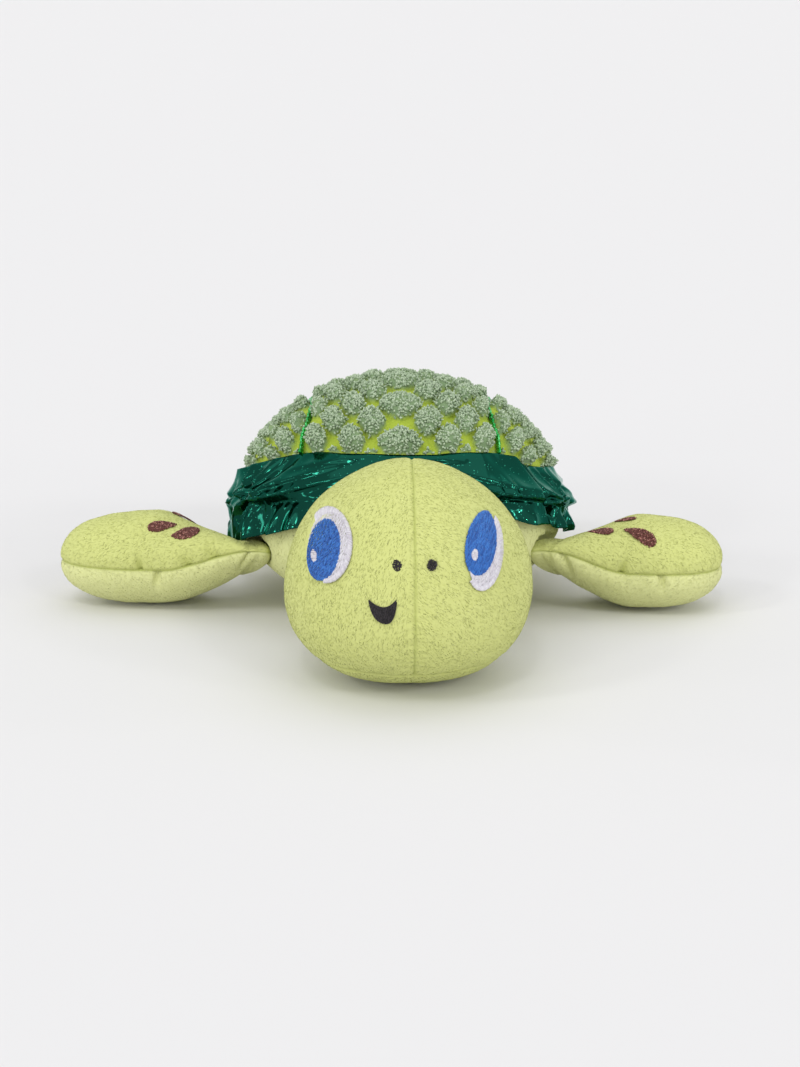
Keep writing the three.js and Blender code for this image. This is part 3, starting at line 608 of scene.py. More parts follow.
# %% [markdown]
# ## The head
#
# The real head is cut from velboa in two sides and a chin, sewn inside out, turned and filled.
# Where two panels meet, the filling rounds them and the thread pulls the seam into a narrow
# valley with small puckers. The ball is moved to the head's form, and its points are then
# pushed in along the seams: modelling by code keeps the seams crisp, where a cloth simulation
# would need them cut in afterwards.

# %% Head cover
FACE_TURN = math.radians(1.2)
CHIN_SEAM_Z = 10.0
FAR_OFF = 99.0
HEAD_STEPS, HEAD_BLADES = 118, 48000
PUCKER_HIGH, PUCKER_LENGTH, PUCKER_OFF, PUCKER_WIDE = 0.16, 4.3, 1.8, 1.9


def head_seams(points):
    """Distances from the middle seam and from the chin seam."""
    middle = ((points[:, 0] - HEAD_X) * math.cos(FACE_TURN)
              + (points[:, 1] - NECK_HINGE_Y) * math.sin(FACE_TURN))
    middle = np.where(points[:, 2] > CHIN_SEAM_Z - 0.5, np.abs(middle), FAR_OFF)
    return middle, np.abs(points[:, 2] - CHIN_SEAM_Z)


def seam_valley(distance, along, seed, depth, width, round_depth, round_width=3.2):
    """How far cloth goes in near a seam: the stitched valley, the rounding, and the puckers."""
    uneven = 2.0 * np.sin(along * 0.31 + seed)
    pucker = PUCKER_HIGH * np.cos(2 * np.pi * along / PUCKER_LENGTH + uneven)
    return (-depth * hill(distance, width) - round_depth * hill(distance, round_width)
            + pucker * hill(distance - PUCKER_OFF, PUCKER_WIDE))


directions, head_faces = cube_ball(HEAD_STEPS)
head_base = head_points(directions)
head_faces = facing_out(head_base, head_faces)
outward = point_normals(head_base, head_faces)
middle_seam, chin_seam = head_seams(head_base)
x, y, z = head_base.T
push = seam_valley(middle_seam, z - y, 1.0, depth=0.45, width=0.55, round_depth=0.3)
push += seam_valley(chin_seam, x + y, 2.0, depth=0.4, width=0.6, round_depth=0.3)
push += 0.45 * waves(head_base, 34, 11) + 0.12 * waves(head_base, 9, 12)
push *= smooth_step(-y, 40, 48)  # the neck stays as its solid is
head_cloth = soft_floor(head_base + outward * push[:, None])
# The seam mask paints shade into the valleys of the middle and chin seams.
seam_shade_mask = np.maximum(hill(middle_seam, 0.4), 0.6 * hill(chin_seam, 0.45))
head_cover = piece("head_cover", head_cloth, head_faces, velboa,
                   masks={"seam": 0.45 * seam_shade_mask})
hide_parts("head_left_panel", "head_right_panel", "chin_panel", "head_stuffing")

# %% [markdown]
# ## The pile
#
# Velboa's pile is what makes a toy look soft: thousands of short tufts that lean one way and
# catch the light in small streaks. A bump alone would leave the outline hard, so short closed
# blades stand on the cloth, combed along each panel with a little disorder.

# %% Pile helper
BLADE_LONG, BLADE_WIDE, BLADE_LEAN, BLADE_FOOT = 0.8, 0.22, 0.985, 0.06
BLADE_SIDES = np.array([[0, 1, 3], [1, 2, 3], [2, 0, 3], [1, 0, 2]])
BLADE_SIZES, BLADE_DISORDER, BLADE_FLOOR = (0.75, 1.2), 0.2, 0.05
LOWEST_BLADE_Z = 0.6


def pile(name, cloth, quads, count, comb, material, seed, keep):
    """Short closed blades over a cloth, leaning the way of comb, where keep lets them stand."""
    rng = np.random.default_rng(seed)
    a, b, c, e = (cloth[quads[:, i]] for i in range(4))
    normal = np.cross(c - a, e - b)
    area = np.linalg.norm(normal, axis=1) / 2
    pick = rng.choice(len(quads), count, p=area / area.sum())
    u, v = rng.random((2, count, 1))
    root = (a[pick] * (1 - u) + b[pick] * u) * (1 - v) + (e[pick] * (1 - u) + c[pick] * u) * v
    chosen = keep(root)
    root, up = root[chosen], unit(normal[pick])[chosen]
    count = len(root)
    way = comb(root) + rng.normal(0, BLADE_DISORDER, (count, 3))
    way = unit(way - up * np.einsum("ij,ij->i", way, up)[:, None])
    side = np.cross(up, way)
    size = rng.uniform(*BLADE_SIZES, (count, 1))
    tip = root + (way * BLADE_LEAN + up * math.sqrt(1 - BLADE_LEAN**2)) * BLADE_LONG * size
    foot = root - up * BLADE_FOOT
    half = side * BLADE_WIDE / 2 * size
    back = foot - way * BLADE_WIDE * size * 0.6 + up * 0.09
    blades = np.stack([foot + half, foot - half, back, tip], 1).reshape(-1, 3)
    blades[:, 2] = np.maximum(blades[:, 2], BLADE_FLOOR)
    start = 4 * np.arange(count)[:, None, None]
    tris = (start + BLADE_SIDES[None]).reshape(-1, 3)
    # Each blade gets a random tone, and its three foot corners are darker still, as painted shade
    # down in the pile.
    tone = rng.random((count, 1)) ** 2 * 0.5
    deep_shade_and_tone = np.clip(np.concatenate([tone + 0.2] * 3 + [tone], 1), 0, 1).ravel()
    return piece(name, blades, facing_out(blades, tris), material, masks={"deep_shade_and_tone": deep_shade_and_tone})


# %% Head pile
def oval_share(x, z, shape, grow=0.0):
    """Below 1 inside a sheared oval of the face."""
    middle_x, middle_z, half_x, end_rise, half_z, top_shift = shape
    wide, tall = half_x + grow, half_z + grow
    dx, dz = x - middle_x, z - middle_z
    det = wide * tall - top_shift * end_rise
    return np.hypot((tall * dx - top_shift * dz) / det, (wide * dz - end_rise * dx) / det)


# Each oval: middle x and z, half width, rise of its end, half height, shift of its top.
EYES = {
    "left": dict(white=(27.7, 50.9, 6, -1.5, 10.2, 1.4), iris=(26.3, 53.8, 5.1, -1.2, 8.3, 1.4),
                 highlight=(24.1, 51.6, 1.1, 0, 1.6, 0)),
    "right": dict(white=(-23.4, 52.5, 7.9, 1.9, 10.2, 0.6), iris=(-24.9, 51.1, 5.6, 1.7, 8.6, 0.9),
                  highlight=(-28.1, 48.9, 1.1, 0, 1.6, 0)),
}
NOSTRILS = {"left": (10.3, 50.4, 1.6, 0, 1.7, 0), "right": (-1, 50.3, 1.6, 0, 1.7, 0)}
BARE_NECK_Y, MIDDLE_SEAM_CLEAR, CHIN_SEAM_CLEAR, EYE_CLEAR = -38, 0.35, 0.3, 0.1


def bare_face(points):
    """Whether a place is clear of the neck, the seams' valleys and the embroidery."""
    middle, chin = head_seams(points)
    free = (points[:, 1] < BARE_NECK_Y) & (points[:, 2] > LOWEST_BLADE_Z)
    free &= (middle > MIDDLE_SEAM_CLEAR) & (chin > CHIN_SEAM_CLEAR)
    front = points[:, 1] < HEAD_Y
    ovals = [(eye[part], EYE_CLEAR) for eye in EYES.values() for part in ("white", "iris")]
    for shape, grow in ovals + [(nostril, 0.0) for nostril in NOSTRILS.values()]:
        free &= ~(front & (oval_share(points[:, 0], points[:, 2], shape, grow) < 1))
    return free


def head_comb(points):
    """The pile lies down and outwards on the toy's right side, and more across on its left."""
    middle = points[:, 0] - HEAD_X
    down = xyz(0.25 * np.sign(middle), -0.2 + 0 * middle, -np.ones_like(middle))
    across = xyz(0.9 + 0 * middle, 0.1 + 0 * middle, -0.75 + 0 * middle)
    return np.where(middle[:, None] > 0, across, down) + 0.15 * waves(points, 24, 21)[:, None]


head_pile = pile("head_pile", head_cloth, head_faces, HEAD_BLADES, head_comb, pile_lime,
                 31, bare_face)
for soft in (head_cover, head_pile):
    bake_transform(soft)

# %% [markdown]
# ## The flippers
#
# Each flipper is a top and a bottom panel sewn round their edge, and the edge seam shows as a
# sunken line with short folds running into it. The top panels are lime and the bottom ones a
# paler velboa. At the shoulder, each cover's root is set along the body's side.

# %% Flipper covers
# Pinches at the edge seam: distance along, 1 above or -1 below it, 1 behind or -1 ahead.
PINCHES = {
    "front_flipper_right": [(36, 1, -1), (20.7, 1, -1), (14.7, 1, -1), (29.7, -1, -1),
                            (6.5, -1, -1)],
    "front_flipper_left": [(25.7, 1, -1), (10, -1, -1), (40, -1, -1)],
}
PINCH_DEPTH, FOLD_WIDTH, FOLD_HEIGHT, FOLD_LEAN = 2.2, 1.05, 4.2, 0.12
FLIPPER_MAKE = {"front": (112, 15000), "rear": (64, 8000)}  # steps of the cover, blades
FOLDS_BEHIND, FOLDS_AHEAD, ROUND_TIP = 7, 4, 160


def flipper_folds(name, spec, points):
    """The seam's valley and the folds that run into it, in a flipper's own frame."""
    rng = np.random.default_rng(len(name) * 7 + int(spec["reach"]))
    near_seam = np.abs(points[:, 2])
    around = fore_aft(points[:, 1], spec, points[:, 0], ROUND_TIP - points[:, 0])
    push = seam_valley(near_seam, around, spec["reach"], depth=0.7, width=0.8, round_depth=0.7,
                       round_width=3.0)
    folds = [(a, side, edge, PINCH_DEPTH) for a, side, edge in PINCHES.get(name, [])]
    for edge, count in ((1, FOLDS_BEHIND), (-1, FOLDS_AHEAD)):
        for _ in range(count):
            along, above = rng.uniform(4, spec["reach"] - 6), rng.choice([-1, 1])
            folds.append((along, above, edge, rng.uniform(0.3, 0.7) if edge > 0 else 0.25))
    for along, above, edge, depth in folds:
        at_edge = points[:, 1] * spec["side"] * edge > 0
        up = points[:, 2] * above
        push -= (depth * hill(points[:, 0] - along - FOLD_LEAN * up, FOLD_WIDTH)
                 * hill(np.maximum(0, up - 1.5), FOLD_HEIGHT) * (up > 0) * at_edge)
    return push, near_seam


def second_material(made, material, chosen):
    """Gives some faces of a piece another material."""
    made.data.materials.append(material)
    made.data.polygons.foreach_set("material_index", chosen.astype(np.int32))


def make_flipper(name, spec, steps, blades):
    """A flipper's cover and its pile, lime above the edge seam and paler below it."""
    directions, faces = cube_ball(steps)
    base = flipper_points(spec, directions)
    faces = facing_out(base, faces)
    form = leant(base, spec)
    outward = point_normals(form, faces)
    push, near_seam = flipper_folds(name, spec, base)
    push += 0.4 * waves(base, 26, len(name)) + 0.1 * waves(base, 8, 5)
    push *= smooth_step(base[:, 0], -2, 5)
    cloth = soft_floor(turned(form + outward * push[:, None], spec))
    # The seam mask paints shade into the edge seam's valley.
    cover = piece(name + "_cover", cloth, faces, velboa,
                  masks={"seam": 0.45 * hill(near_seam, 0.5)})
    second_material(cover, velboa_pale, (base[:, 2] < 0)[faces].mean(1) > 0.5)
    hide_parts(*(f"{name}_{part}" for part in ("top_panel", "bottom_panel", "stuffing")))
    a = math.radians(spec["heading"])
    outwards = np.array([math.cos(a), math.sin(a), 0])

    def comb(points):
        fall = np.where(in_flipper(points, spec)[:, 2:] > 0, -0.5, 0.5)
        return outwards * 0.8 + np.array([0, 0, 1.0]) * fall + 0.15 * waves(points, 24, 8)[:, None]

    def free(points):
        plan = turned(points, spec, back=True)
        local = leant(plan, spec, back=True)
        seen = (local[:, 0] > -1) & (points[:, 2] > LOWEST_BLADE_Z) & (np.abs(local[:, 2]) > 0.3)
        for spot in SPOTS.get(name, []):
            seen &= ~((local[:, 2] > 0) & inside_spot(plan, spot, spec["side"], 0.9))
        return seen

    fur = pile(name + "_pile", cloth, faces, blades, comb, pile_lime,
               len(name) * 13 + steps, free)
    points = np.array([v.co for v in fur.data.vertices]) / MM - DRAWING_MIDDLE
    corners = np.empty(len(fur.data.polygons) * 3, np.int32)
    fur.data.polygons.foreach_get("vertices", corners)
    heights = in_flipper(points, spec)[:, 2][corners.reshape(-1, 3)]
    second_material(fur, pile_pale, heights.mean(1) < 0)
    for soft in (cover, fur):
        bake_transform(soft)


# %% Spots on the front flippers
# Each teardrop: distance out, distance ahead, half length, half width, way it points, slant.
SPOTS = {
    "front_flipper_left": [(31.2, 12, 6.6, 3.6, 1, 0.35), (16.4, 11.4, 5, 3.2, 1, -0.1),
                           (24.8, 1.6, 4.2, 2.3, 1, 0)],
    "front_flipper_right": [(28.2, 9.8, 5.8, 3.5, 1, 0.2), (19.4, 13.6, 5.6, 4.2, -1, 0.2),
                            (21.5, -4.5, 4.6, 2.6, 1, 0)],
}


def inside_spot(local, spot, side, grow):
    """Whether places on a flipper lie within a teardrop spot."""
    out, ahead, length, width, sense, slant = spot
    t = np.clip((local[:, 0] - out) / (length * grow), -1, 1)
    turn = np.arccos(-t * sense)
    half = width * grow * np.sin(turn) * np.sin(turn / 2)
    aside = np.abs(local[:, 1] * side + ahead + slant * (local[:, 0] - out))
    return (np.abs(t) < 1) & (aside < half)


for name, spec in FLIPPERS.items():
    make_flipper(name, spec, *FLIPPER_MAKE[name.split("_")[0]])

# %% [markdown]
# ## The body
#
# The belly is a low bun of pale velboa. The shell above it is nub cloth: a smooth bright
# ground woven with diamond pads of looped terry yarn. Both are filled by the same stuffing.
# Where the neck and the flippers go in, the covers are pressed back to leave room for them.

# %% Body covers
NUB_ACROSS, NUB_ALONG, NUB_FIRST, NUB_GAP, ROW_BEND, BEND_POWER = 7.3, 26.0, -1.0, 3.0, 45.0, 1.6
NUB_WIDE, NUB_WIDE_MIDDLE, NUB_LONG, NUB_POWER, NUB_DOME = 5.4, 8.2, 9.6, 1.45, 4.2
SEAM_MID_X, SEAM_RIM_X, SEAM_REACH_Y = 33.0, 36.0, 30.0
NECK_ROOM, NECK_SIDE_ROOM, NECK_DROP, ROOT_ROOM = 5.2, 4, 32, 0.6
PLATE_Z = 44.0
BELLY_STEPS, SHELL_STEPS, BELLY_BLADES = 96, 184, 26000
SIDE_BAND_LOWER, SIDE_BAND_RAISED, RAISED_REACH = 2.4, 3.6, math.radians(13)


def band_top(angle):
    """Upper edge of the foil band. The side piece starts a little lower than the front one."""
    lowered = (smooth_step(angle, math.radians(-35), math.radians(-33))
               * smooth_step(-angle, math.radians(-80), 0))
    raised = hill(angle - math.radians(-6), RAISED_REACH)
    return rim_height(angle) + BAND_RISE - SIDE_BAND_LOWER * lowered + SIDE_BAND_RAISED * raised


def seam_x(y):
    """How far from the middle the shell's seams run, which spread towards the rim."""
    share = np.minimum(1, ((y - BODY_Y) / SEAM_REACH_Y) ** 2)
    return SEAM_MID_X + (SEAM_RIM_X - SEAM_MID_X) * share


def make_room(points):
    """Presses the body in where the neck and the flipper roots sit."""
    dz = points[:, 2] - HEAD_SEAT_Z
    tall = np.where(dz > 0, NECK_SHARE * HEAD_RISE + NECK_ROOM, NECK_SHARE * NECK_DROP + NECK_ROOM)
    wide = NECK_SHARE * HEAD_HALF_X + NECK_SIDE_ROOM
    reach = (np.abs((points[:, 0] - HEAD_X) / wide) ** HEAD_BASE_POWER
             + np.abs(dz / tall) ** HEAD_BASE_POWER)
    weight = smooth_step(1 - reach, 0, 0.25) * (points[:, 1] < BODY_Y)
    seat = saddle_y(points[:, 2], NECK_RADIUS - ROOT_ROOM)
    points[:, 1] += weight * np.maximum(0, seat - points[:, 1])
    for spec in FLIPPERS.values():
        local = in_flipper(points, spec)
        chord = fore_aft(local[:, 1], spec, spec["root_front"], spec["root_back"]) + ROOT_ROOM
        radius = spec["root"] + ROOT_ROOM + np.where(local[:, 2] > 0, FLAP_ROOM, 0)
        rest = 1 - (local[:, 1] / chord) ** 2 - (local[:, 2] / radius) ** 2
        face = -(spec["root"] + ROOT_ROOM) * np.sqrt(np.maximum(0, rest))
        local[:, 0] = np.where((rest > 0) & (local[:, 0] > face), face, local[:, 0])
        points = turned(leant(local, spec), spec)
    return points


def domed(steps, dome):
    """A closed form from two discs that share their edge: a dome, and a plate inside the rim."""
    flat, quads, edge = disc(steps)
    angle, reach = np.arctan2(flat[:, 1], flat[:, 0]), np.hypot(flat[:, 0], flat[:, 1])
    middle = np.array([0, BODY_Y, PLATE_Z])
    plate = middle + (body_at(rim_height(angle), angle) - middle) * reach[:, None]
    lookup = np.arange(len(flat)) + len(flat)
    lookup[edge] = edge
    points = np.concatenate([dome(angle, reach), plate])
    faces = np.concatenate([quads, lookup[quads][:, ::-1]])
    used, packed = np.unique(faces, return_inverse=True)
    return points[used], facing_out(points[used], packed.reshape(faces.shape))


def bun_place(turn, angle, rise):
    """A place on the bun of the body, at a turn from its pole."""
    return xyz(BODY_HALF_X * np.sin(turn) * np.cos(angle),
               BODY_Y + BODY_HALF_Y * np.sin(turn) * np.sin(angle), GIRTH_Z + rise * np.cos(turn))


def lower_dome(angle, reach):
    """The belly, from its middle out to the rim."""
    turn = reach * (np.pi / 2 + np.arcsin((rim_height(angle) - GIRTH_Z) / CROWN_RISE))
    return bun_place(turn, angle, -np.where(turn < np.pi / 2, BODY_DROP, CROWN_RISE))


def upper_dome(angle, reach):
    """The shell, from its crown out to the rim."""
    turn = reach * np.arccos((rim_height(angle) - GIRTH_Z) / CROWN_RISE)
    return bun_place(turn, angle, CROWN_RISE)


belly, belly_faces = domed(BELLY_STEPS, lower_dome)
outward = point_normals(belly, belly_faces)
push = 0.45 * waves(belly, 30, 41) + 0.1 * waves(belly, 9, 42) - 0.25
belly_cloth = soft_floor(make_room(belly + outward * push[:, None]))
belly_cover = piece("belly_cover", belly_cloth, belly_faces, velboa_pale,
                    masks={"seam": np.zeros(len(belly))})
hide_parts("belly_panel", "body_stuffing")
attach(belly_cover, "body")


def body_angle(points):
    """The angle of places round the body."""
    return np.arctan2((points[:, 1] - BODY_Y) / BODY_HALF_Y, points[:, 0] / BODY_HALF_X)


NECK_HIDES_X, NECK_HIDES_Y, BAND_HIDES = 27, -20, 6
ROOT_HIDES, ROOT_HIDES_ALONG = (1, 2), 14  # beyond the root's chord and radius, and along it


def belly_seen(points):
    """Whether a place is clear of the table, the band, the neck and the flipper roots."""
    deep_neck = (np.abs(points[:, 0] - HEAD_X) < NECK_HIDES_X) & (points[:, 1] < NECK_HIDES_Y)
    below_band = points[:, 2] < rim_height(body_angle(points)) - BAND_HIDES
    seen = (points[:, 2] > LOWEST_BLADE_Z) & below_band & ~deep_neck
    for spec in FLIPPERS.values():
        local = in_flipper(points, spec)
        chord = fore_aft(local[:, 1], spec, spec["root_front"], spec["root_back"]) + ROOT_HIDES[0]
        radius = spec["root"] + ROOT_HIDES[1]
        seen &= ~(((local[:, 1] / chord) ** 2 + (local[:, 2] / radius) ** 2 < 1)
                  & (np.abs(local[:, 0]) < ROOT_HIDES_ALONG))
    return seen


def belly_comb(points):
    """The belly's pile hangs down, a little this way and that."""
    return xyz(0.2 * waves(points, 20, 3), 0 * points[:, 0], -np.ones(len(points)))


belly_pile = pile("belly_pile", belly_cloth, belly_faces, BELLY_BLADES, belly_comb,
                  pile_pale, 51, belly_seen)
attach(belly_pile, "body")


# %% Nub pads
def row_bend(across):
    """How far back the rows of pads have bent, at a distance from the middle."""
    return ROW_BEND * (np.abs(across) / BODY_HALF_X) ** BEND_POWER


def pad_width(column):
    """Half width of a pad: the widest in the middle, narrower down the sides."""
    wide = NUB_WIDE * (1 - 0.034 * np.abs(column))
    return np.where(column == 0, NUB_WIDE_MIDDLE, wide)


def pad_measure(out, ahead, wide):
    """Below 1 on a pad, from distances to its middle across and along the straight rows."""
    total = (np.abs(out) / wide) ** NUB_POWER + (np.abs(ahead) / NUB_LONG) ** NUB_POWER
    return total ** (1 / NUB_POWER)


def pad_share(across, along):
    """Below 1 on the pad that is nearest to a place on the cloth."""
    best = np.full(np.shape(across), 9.0)
    row_place = along - row_bend(across) - NUB_FIRST
    inner_gap = np.sign(across) * NUB_GAP * np.minimum(1, np.abs(across) / 6)
    column0 = np.round((across - inner_gap) / NUB_ACROSS)
    for step in (-1, 0, 1):
        column = column0 + step
        stagger = np.where(column % 2 == 0, 0, NUB_ALONG / 2)
        ahead = row_place - stagger - NUB_ALONG * np.round((row_place - stagger) / NUB_ALONG)
        out = across - column * NUB_ACROSS - np.sign(column) * NUB_GAP
        best = np.minimum(best, pad_measure(out, ahead, pad_width(column)))
    return best


def dome_height(share):
    """How far a pad rises, from its edge to its middle."""
    return NUB_DOME * np.sqrt(np.maximum(0, 1 - np.minimum(1, share) ** 2.6))


def cloth_fade(points):
    """How far pads may rise: not over the piping seams, and not through the foil band."""
    seam = np.abs(np.abs(points[:, 0]) - seam_x(points[:, 1]))
    edge = smooth_step(points[:, 2] - band_top(body_angle(points)), -1.0, 1.6)
    return smooth_step(seam, 0.7, 2.6) * edge, seam


shell, shell_faces = domed(SHELL_STEPS, upper_dome)
outward = point_normals(shell, shell_faces)
share = pad_share(*cloth_lengths(shell))
on_top = np.linalg.norm((shell - BODY_MIDDLE) / SHELL_HALVES, axis=1) > 0.998
fade, seam = cloth_fade(shell)
lift = dome_height(share) * fade * on_top - 0.9 * hill(seam, 1.1) * on_top
lift += 0.25 * waves(shell, 30, 43) * on_top
shell_cloth = make_room(shell + outward * lift[:, None])
shell_cover = piece("shell_cover", shell_cloth, shell_faces, ground_and_nubs,
                    masks={"nub": smooth_step(1 - share, -0.02, 0.06) * (fade > 0.15) * on_top})
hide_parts("shell_centre_panel", "shell_left_panel", "shell_right_panel")
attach(shell_cover, "body")

# %% [markdown]
# ## Terry tufts
#
# Each pad is packed with short loops of yarn that stand out from its middle, so from the front
# they look like dots and from the side like a little brush. Every loop is a small closed rod
# that leans its own way. The pads' places follow the diamond lattice that the cloth is woven in.

# %% Rod helper
def rod_piece(name, first, rings, last, sides, material, deep_shade_and_tone):
    """Closed rods, pointed at both ends. Each ring is its centres, two ways across and girths."""
    rows = [first]
    for centre, side, other, girth in rings:
        for turn in range(sides):
            a = 2 * math.pi * turn / sides
            rows.append(centre + (side * math.cos(a) + other * math.sin(a)) * girth)
    points = np.stack(rows + [last], 1)
    count, each = points.shape[:2]
    at = lambda ring, k: 1 + ring * sides + k % sides
    tris = []
    for k in range(sides):
        tris.append((0, at(0, k + 1), at(0, k)))
        for ring in range(len(rings) - 1):
            tris.append((at(ring, k), at(ring, k + 1), at(ring + 1, k + 1)))
            tris.append((at(ring, k), at(ring + 1, k + 1), at(ring + 1, k)))
        tris.append((at(len(rings) - 1, k), at(len(rings) - 1, k + 1), each - 1))
    faces = (each * np.arange(count)[:, None, None] + np.array(tris)[None]).reshape(-1, 3)
    flat = points.reshape(-1, 3)
    return piece(name, flat, facing_out(flat, faces), material, masks={"deep_shade_and_tone": deep_shade_and_tone})


# %% Terry tufts
LOOP_RINGS, LOOP_SIDES, LOOP_THICK, LOOPS_PER_AREA = 3, 4, 0.5, 1.35
LOOP_SINK, LOOP_ORIGIN, LOOP_DISORDER, LEAST_FADE = 0.5, -12.0, 0.36, 0.2
LAST_COLUMN, LAST_ROW = 12, 5


def loops(name, root, way, bend, long, seed):
    """Loops of yarn as rods from a root along a way, bent sideways and round at the ends."""
    rng = np.random.default_rng(seed)
    way = unit(way)
    side = unit(np.cross(way, rng.normal(size=(len(root), 3))))
    other = np.cross(way, side)
    # Loops are painted darker towards their roots as shade between them, with a random tone per
    # loop.
    rings, depth = [], [1.0]
    for ring in range(LOOP_RINGS):
        t = (ring + 0.5) / LOOP_RINGS
        centre = root + way * (long * t)[:, None] + side * (bend * t * t)[:, None]
        girth = LOOP_THICK * math.sin(math.pi * min(0.97, 0.22 + 0.68 * t)) ** 0.6
        rings.append((centre, side, other, girth))
        depth += [0.9 - 0.8 * t] * LOOP_SIDES
    last = root + way * (long * 1.02)[:, None] + side * bend[:, None]
    uneven = rng.uniform(0, 0.35, (len(root), 1))
    deep_shade_and_tone = np.clip(np.array(depth + [0.0])[None] * 0.8 + uneven, 0, 1).ravel()
    return rod_piece(name, root, rings, last, LOOP_SIDES, terry, deep_shade_and_tone)


def terry_places(per_area, seed):
    """Roots and ways of the loops of all pads."""
    rng = np.random.default_rng(seed)
    roots, ways = [], []
    for column in range(-LAST_COLUMN, LAST_COLUMN + 1):
        mid_across = column * NUB_ACROSS + np.sign(column) * NUB_GAP
        wide = float(pad_width(column))
        for step in range(-LAST_ROW, LAST_ROW + 1):
            row = NUB_FIRST + (step + 0.5 * (column % 2)) * NUB_ALONG
            mid_along = row + row_bend(mid_across)
            if abs(mid_along) > BODY_HALF_Y * 1.45:
                continue
            if abs(mid_across) > BODY_HALF_X * math.cos(mid_along / BODY_HALF_Y) * 1.5:
                continue
            tries = int(per_area * 4 * wide * NUB_LONG)
            p = rng.uniform(-1, 1, (tries, 2)) * [wide, NUB_LONG]
            local = pad_measure(p[:, 0], p[:, 1], wide)
            p, local = p[local < 0.97], local[local < 0.97]
            across = mid_across + p[:, 0]
            along = row + p[:, 1] + row_bend(across)
            fade, _ = cloth_fade(cloth_point(across, along)[0])
            place, _ = cloth_point(across, along, dome_height(local) * fade - LOOP_SINK)
            middle, _ = cloth_point(np.array([mid_across]), np.array([mid_along]), LOOP_ORIGIN)
            kept = fade > LEAST_FADE
            roots.append(place[kept])
            ways.append((place - middle)[kept])
    way = unit(np.concatenate(ways))
    return np.concatenate(roots), way + rng.normal(0, LOOP_DISORDER, way.shape)


tuft_root, tuft_way = terry_places(LOOPS_PER_AREA, 61)
rng = np.random.default_rng(62)
tuft_long = rng.uniform(0.9, 1.7, len(tuft_root))
tuft_bend = rng.uniform(0.2, 0.9, len(tuft_root))
zone = np.where(np.abs(tuft_root[:, 0]) < seam_x(tuft_root[:, 1]), 0, np.sign(tuft_root[:, 0]))
for zone_name, value in (("centre", 0), ("left", 1), ("right", -1)):
    here = zone == value
    terry_piece = loops(f"terry_{zone_name}", tuft_root[here], tuft_way[here], tuft_bend[here],
                        tuft_long[here], 63 + value)
    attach(terry_piece, "body")


# %% Piping in the shell seams
PIPING_REACH, PIPING_STEPS, PIPING_SIDES = 71, 900, 10
PIPING_LIFT, PIPING_HALF_WIDE, PIPING_HALF_HIGH, PIPING_RIPPLE = 0.6, 0.65, 1.2, 0.25


def tube(name, path, ups, half_wide, half_high, material):
    """A closed tube along a path, flattened, with its height along the ups."""
    side = unit(np.cross(unit(np.gradient(path, axis=0)), ups))
    sides, count = PIPING_SIDES, len(path)
    turn = 2 * np.pi * np.arange(sides) / sides
    ring = (path[:, None] + side[:, None] * (np.cos(turn)[None, :, None] * half_wide[:, None, None])
            + ups[:, None] * (np.sin(turn)[None, :, None] * half_high[:, None, None]))
    points = np.concatenate([ring.reshape(-1, 3), path[:1], path[-1:]])
    i, k = np.meshgrid(np.arange(count - 1), np.arange(sides), indexing="ij")
    a, b = i * sides + k, i * sides + (k + 1) % sides
    quads = np.stack([a, b, b + sides, a + sides], -1).reshape(-1, 4)
    k, end = np.arange(sides), (count - 1) * sides
    first = xyz(0 * k + end + sides, (k + 1) % sides, k)
    last = xyz(0 * k + end + sides + 1, end + k, end + (k + 1) % sides)
    tris = np.concatenate([quads[:, [0, 1, 2]], quads[:, [0, 2, 3]], first, last])
    return piece(name, points, facing_out(points, tris), material)


for side_name, side in (("left", 1), ("right", -1)):
    y = np.linspace(BODY_Y - PIPING_REACH, BODY_Y + PIPING_REACH, PIPING_STEPS)
    x = side * seam_x(y)
    inside = 1 - (x / BODY_HALF_X) ** 2 - ((y - BODY_Y) / BODY_HALF_Y) ** 2
    y, x, inside = y[inside > 0.02], x[inside > 0.02], inside[inside > 0.02]
    path = xyz(x, y, GIRTH_Z + CROWN_RISE * np.sqrt(inside))
    path = path[path[:, 2] > band_top(body_angle(path)) - 0.5]
    ups, ripple = shell_normal(path), waves(path, 3.2, 71)
    lifted = path + ups * (PIPING_LIFT + PIPING_RIPPLE * ripple)[:, None]
    cord_piece = tube(f"piping_{side_name}", lifted, ups,
                      PIPING_HALF_WIDE + 0.1 * waves(path, 2.3, 72),
                      PIPING_HALF_HIGH + PIPING_RIPPLE * ripple, piping)
    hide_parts(f"shell_piping_{side_name}")
    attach(cord_piece, "body")

# %% [markdown]
# ## The foil skirt
#
# A strip of metallic cloth runs round the edge of the shell in three pieces. It is gathered on
# a thread below its middle: above the thread it stays nearly smooth, below it flares as a ruffle.
# The sheet is a fine grid round the body and down, and each place on it stands off the body by a
# sum of simple forms: the puff over the thread, the pleats under it, long folds that are crisp
# below and soft above, and flat blades that spread from a pinch, as foil has where it is crushed.

# %% Foil sheet helper
BAND_ARC = 66.0  # mean radius, to give angles round the body as lengths
BAND_TALL = BAND_RISE + BAND_DROP
THREAD_SHARE, SCRUNCH_REACH = 0.665, 11
PLEAT_LENGTH, TUCK_LENGTH, PUFF_LENGTH = 12.0, 3.6, 9.5
FOIL_REST, FOIL_FULLNESS, FOIL_FLARE = 0.8, 1.7, 2.2
# Along the share from top to hem: how far from the thread a form lies, and how wide it is.
BULGE, PINCHED, TUCKED, PUFFED = (-0.1, 0.07), (0, 0.04), (0, 0.09), (-0.15, 0.14)
FAN_FLAT, FAN_REACH, FAN_SWAY = 6.0, 13.0, 0.07
FOIL_HALF_THICK, LOWEST_FOIL = 0.14, 0.7
FOIL_STEPS_DOWN, FOIL_STEPS_PER_DEGREE = 46, 2.1
